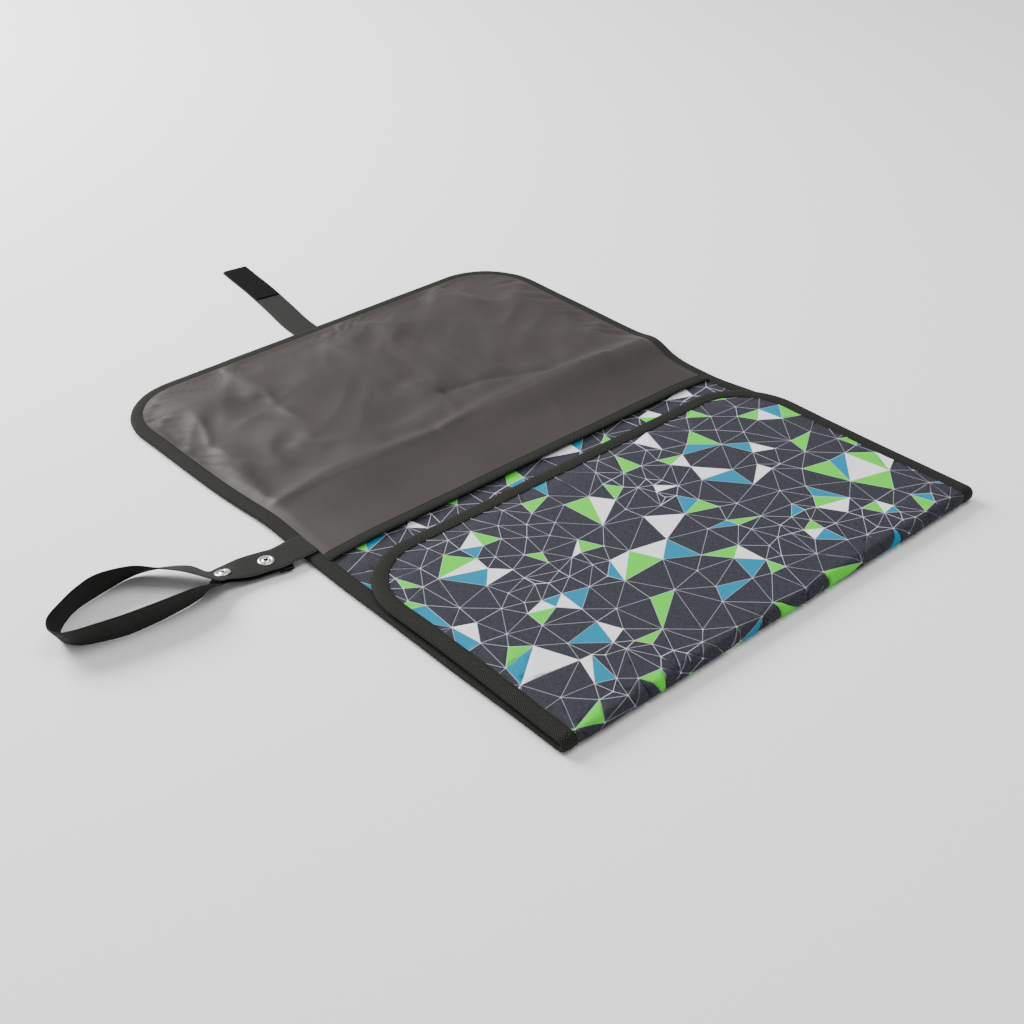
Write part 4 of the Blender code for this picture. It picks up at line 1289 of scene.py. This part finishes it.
sewn_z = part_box("wrist_strap_sewn_end")[0].z + WEB / 2
sewn_low, sewn_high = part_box("wrist_strap_sewn_end")
sewn_stations = [
    ((sewn_high.x, WRIST_Y - 0.013, sewn_z + 0.0001), (sewn_high.x, WRIST_Y + 0.013, sewn_z + 0.0001)),
    ((-half_width + 0.004, WRIST_Y - 0.013, sewn_z), (-half_width + 0.004, WRIST_Y + 0.013, sewn_z)),
    ((sewn_low.x - 0.0004, WRIST_Y - 0.013, sewn_z), (sewn_low.x - 0.0004, WRIST_Y + 0.013, sewn_z)),
]
inner_snap, outer_snap = snap_centres
LIFT = 0.0034  # how far the outer snap leans, at the webbing's edges
upper_stations = [
    ((sewn_low.x - 0.0002, WRIST_Y - 0.013, sewn_z), (sewn_low.x - 0.0002, WRIST_Y + 0.013, sewn_z)),
    flat_station(inner_snap, -0.009, upper_z - 0.0002),
    flat_station(inner_snap, 0.0, upper_z),
    flat_station(inner_snap, 0.0165, upper_z),
    flat_station(outer_snap, 0.0, upper_z + 0.0006, LIFT, -LIFT),
    flat_station(outer_snap, 0.008, upper_z + 0.0010, 1.4 * LIFT, -1.2 * LIFT),
    loop_station((-0.0839, 0.0188, 0.0170), (-0.0699, 0.0362, 0.0060)),
    loop_station((-0.0985, 0.0330, 0.0195), (-0.0865, 0.0510, 0.0035)),
    loop_station((-0.1110, 0.0440, 0.0215), (-0.1054, 0.0590, 0.0004)),
    loop_station((-0.1357, 0.0477, 0.0245), (-0.1354, 0.0550, 0.0001)),
    loop_station((-0.1546, 0.0430, 0.0250), (-0.1535, 0.0505, 0.0001)),
    loop_station((-0.1720, 0.0350, 0.0245), (-0.1675, 0.0425, 0.0001)),
    loop_station((-0.1860, 0.0265, 0.0240), (-0.1765, 0.0335, 0.0001)),
    loop_station((-0.1918, 0.0160, 0.0235), (-0.1790, 0.0250, 0.0001)),
    loop_station((-0.1890, 0.0075, 0.0235), (-0.1760, 0.0175, 0.0001)),
    loop_station((-0.1810, 0.0025, 0.0238), (-0.1690, 0.0110, 0.0001)),
    loop_station((-0.1650, -0.0015, 0.0240), (-0.1560, 0.0055, 0.0001)),
    loop_station((-0.1440, -0.0056, 0.0240), (-0.1400, 0.0008, 0.0001)),
    loop_station((-0.1160, -0.0090, 0.0240), (-0.1150, -0.0002, 0.0001)),
]
return_stations = [
    loop_station((-0.1160, -0.0090, 0.0240), (-0.1150, -0.0002, 0.0001)),
    loop_station((-0.0920, -0.0098, 0.0225), (-0.0925, 0.0012, 0.0003)),
    loop_station((-0.0790, -0.0088, 0.0185), (-0.0790, 0.0045, 0.0005)),
    loop_station((-0.0690, -0.0070, 0.0120), (-0.0680, 0.0130, 0.0008)),
    flat_station(outer_snap, 0.0, lower_z + 0.0006, LIFT, -LIFT),
    flat_station(inner_snap, 0.0165, lower_z),
    flat_station(inner_snap, 0.0, lower_z),
    flat_station(inner_snap, -0.0150, lower_z),
    flat_station(inner_snap, -0.0163, lower_z - 0.0007),
    flat_station(inner_snap, -0.0150, lower_z - 0.0014),
    flat_station(inner_snap, -0.0060, lower_z - 0.0014),
]
wrist_strap_sewn = webbing_piece("wrist_strap_sewn", sewn_stations, 6, WEB)
wrist_strap_loop = webbing_piece("wrist_strap_loop", upper_stations, 8, WEB)
wrist_strap_return = webbing_piece("wrist_strap_return", return_stations, 8, WEB)
for piece in (wrist_strap_sewn, wrist_strap_loop, wrist_strap_return):
    webbing.put_on(piece)
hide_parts("wrist_strap_sewn_end")
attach(wrist_strap_sewn, "back")
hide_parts("wrist_strap_webbing")
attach(wrist_strap_loop, "wrist_strap")
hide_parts("wrist_strap_free_end")
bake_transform(wrist_strap_return)


# ---------------------------------------------------------------- Snap fasteners
# Two nickel-plated prong snaps. A ring and a socket are clenched through the upper
# webbing, and a stud and a back ring through the free end, turned from thin sheet.
CAP_PROFILE = [
    (0.0000, -0.0026),
    (0.0054, -0.0026),
    (0.0057, -0.0023),
    (0.0057, -0.0010),
    (0.0052, -0.0007),
    (0.0030, -0.0007),
    (0.0030, 0.0006),
    (0.0060, 0.0006),
    (0.00625, 0.0008),
    (0.0061, 0.0011),
    (0.0052, 0.0015),
    (0.0043, 0.0014),
    (0.0036, 0.0010),
    (0.0030, 0.0011),
    (0.0026, 0.0016),
    (0.0021, 0.0017),
    (0.0017, 0.0014),
    (0.0016, -0.0008),
    (0.0000, -0.0009),
]
BASE_PROFILE = [
    (0.0000, -0.0017),
    (0.0052, -0.0017),
    (0.0059, -0.0013),
    (0.0060, -0.0010),
    (0.0057, -0.0007),
    (0.0028, -0.0007),
    (0.0028, 0.0008),
    (0.0050, 0.0008),
    (0.0052, 0.0010),
    (0.0049, 0.0013),
    (0.0024, 0.0014),
    (0.0020, 0.0018),
    (0.0021, 0.0024),
    (0.0018, 0.0028),
    (0.0000, 0.0029),
]


def turned(name, profile, place, lean):
    """A piece turned about an upright line through place, then leant over with the strap."""
    mesh = bpy.data.meshes.new(name)
    edges = [(i, i + 1) for i in range(len(profile) - 1)]
    mesh.from_pydata([(r, 0.0, h) for r, h in profile], edges, [])
    made = bpy.data.objects.new(name, mesh)
    bpy.context.scene.collection.objects.link(made)
    lathe = made.modifiers.new("lathe", "SCREW")
    lathe.steps = lathe.render_steps = 48
    lathe.use_merge_vertices = True
    lathe.merge_threshold = 1e-6
    apply_all(made)
    bpy.ops.object.mode_set(mode="EDIT")
    bpy.ops.mesh.select_all(action="SELECT")
    bpy.ops.mesh.normals_make_consistent(inside=False)
    bpy.ops.object.mode_set(mode="OBJECT")
    bpy.ops.object.shade_smooth_by_angle(angle=math.radians(42))
    made.data.transform(Matrix.Translation(place) @ Matrix.Rotation(lean, 4, (*snap_line, 0.0)))
    return made


metal = Finish("bright_nickel", "nickel", (0.72, 0.71, 0.69), 0.22, 1.0)
scuffs = metal.grain(metal.place(), 700.0, 4.0, 0.6)
metal.send("Roughness", scuffs * 0.22 + 0.14)
metal.send("Base Color", metal.mix(scuffs, (0.62, 0.61, 0.59, 1.0), (0.80, 0.79, 0.77, 1.0)))
for label, centre, lean, rise in (
    ("inner", inner_snap, 0.0, 0.0),
    ("outer", outer_snap, math.asin(LIFT / 0.013), 0.0006),
):
    cap = turned("snap_cap_" + label, CAP_PROFILE, (*centre[:2], upper_z + rise), lean)
    base = turned("snap_base_" + label, BASE_PROFILE, (*centre[:2], lower_z + rise), lean)
    metal.put_on(cap)
    metal.put_on(base)
    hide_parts("snap_ring_" + label, "snap_socket_" + label)
    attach(cap, "wrist_strap")
    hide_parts("snap_stud_" + label, "snap_post_" + label)
    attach(base, "wrist_free_end")
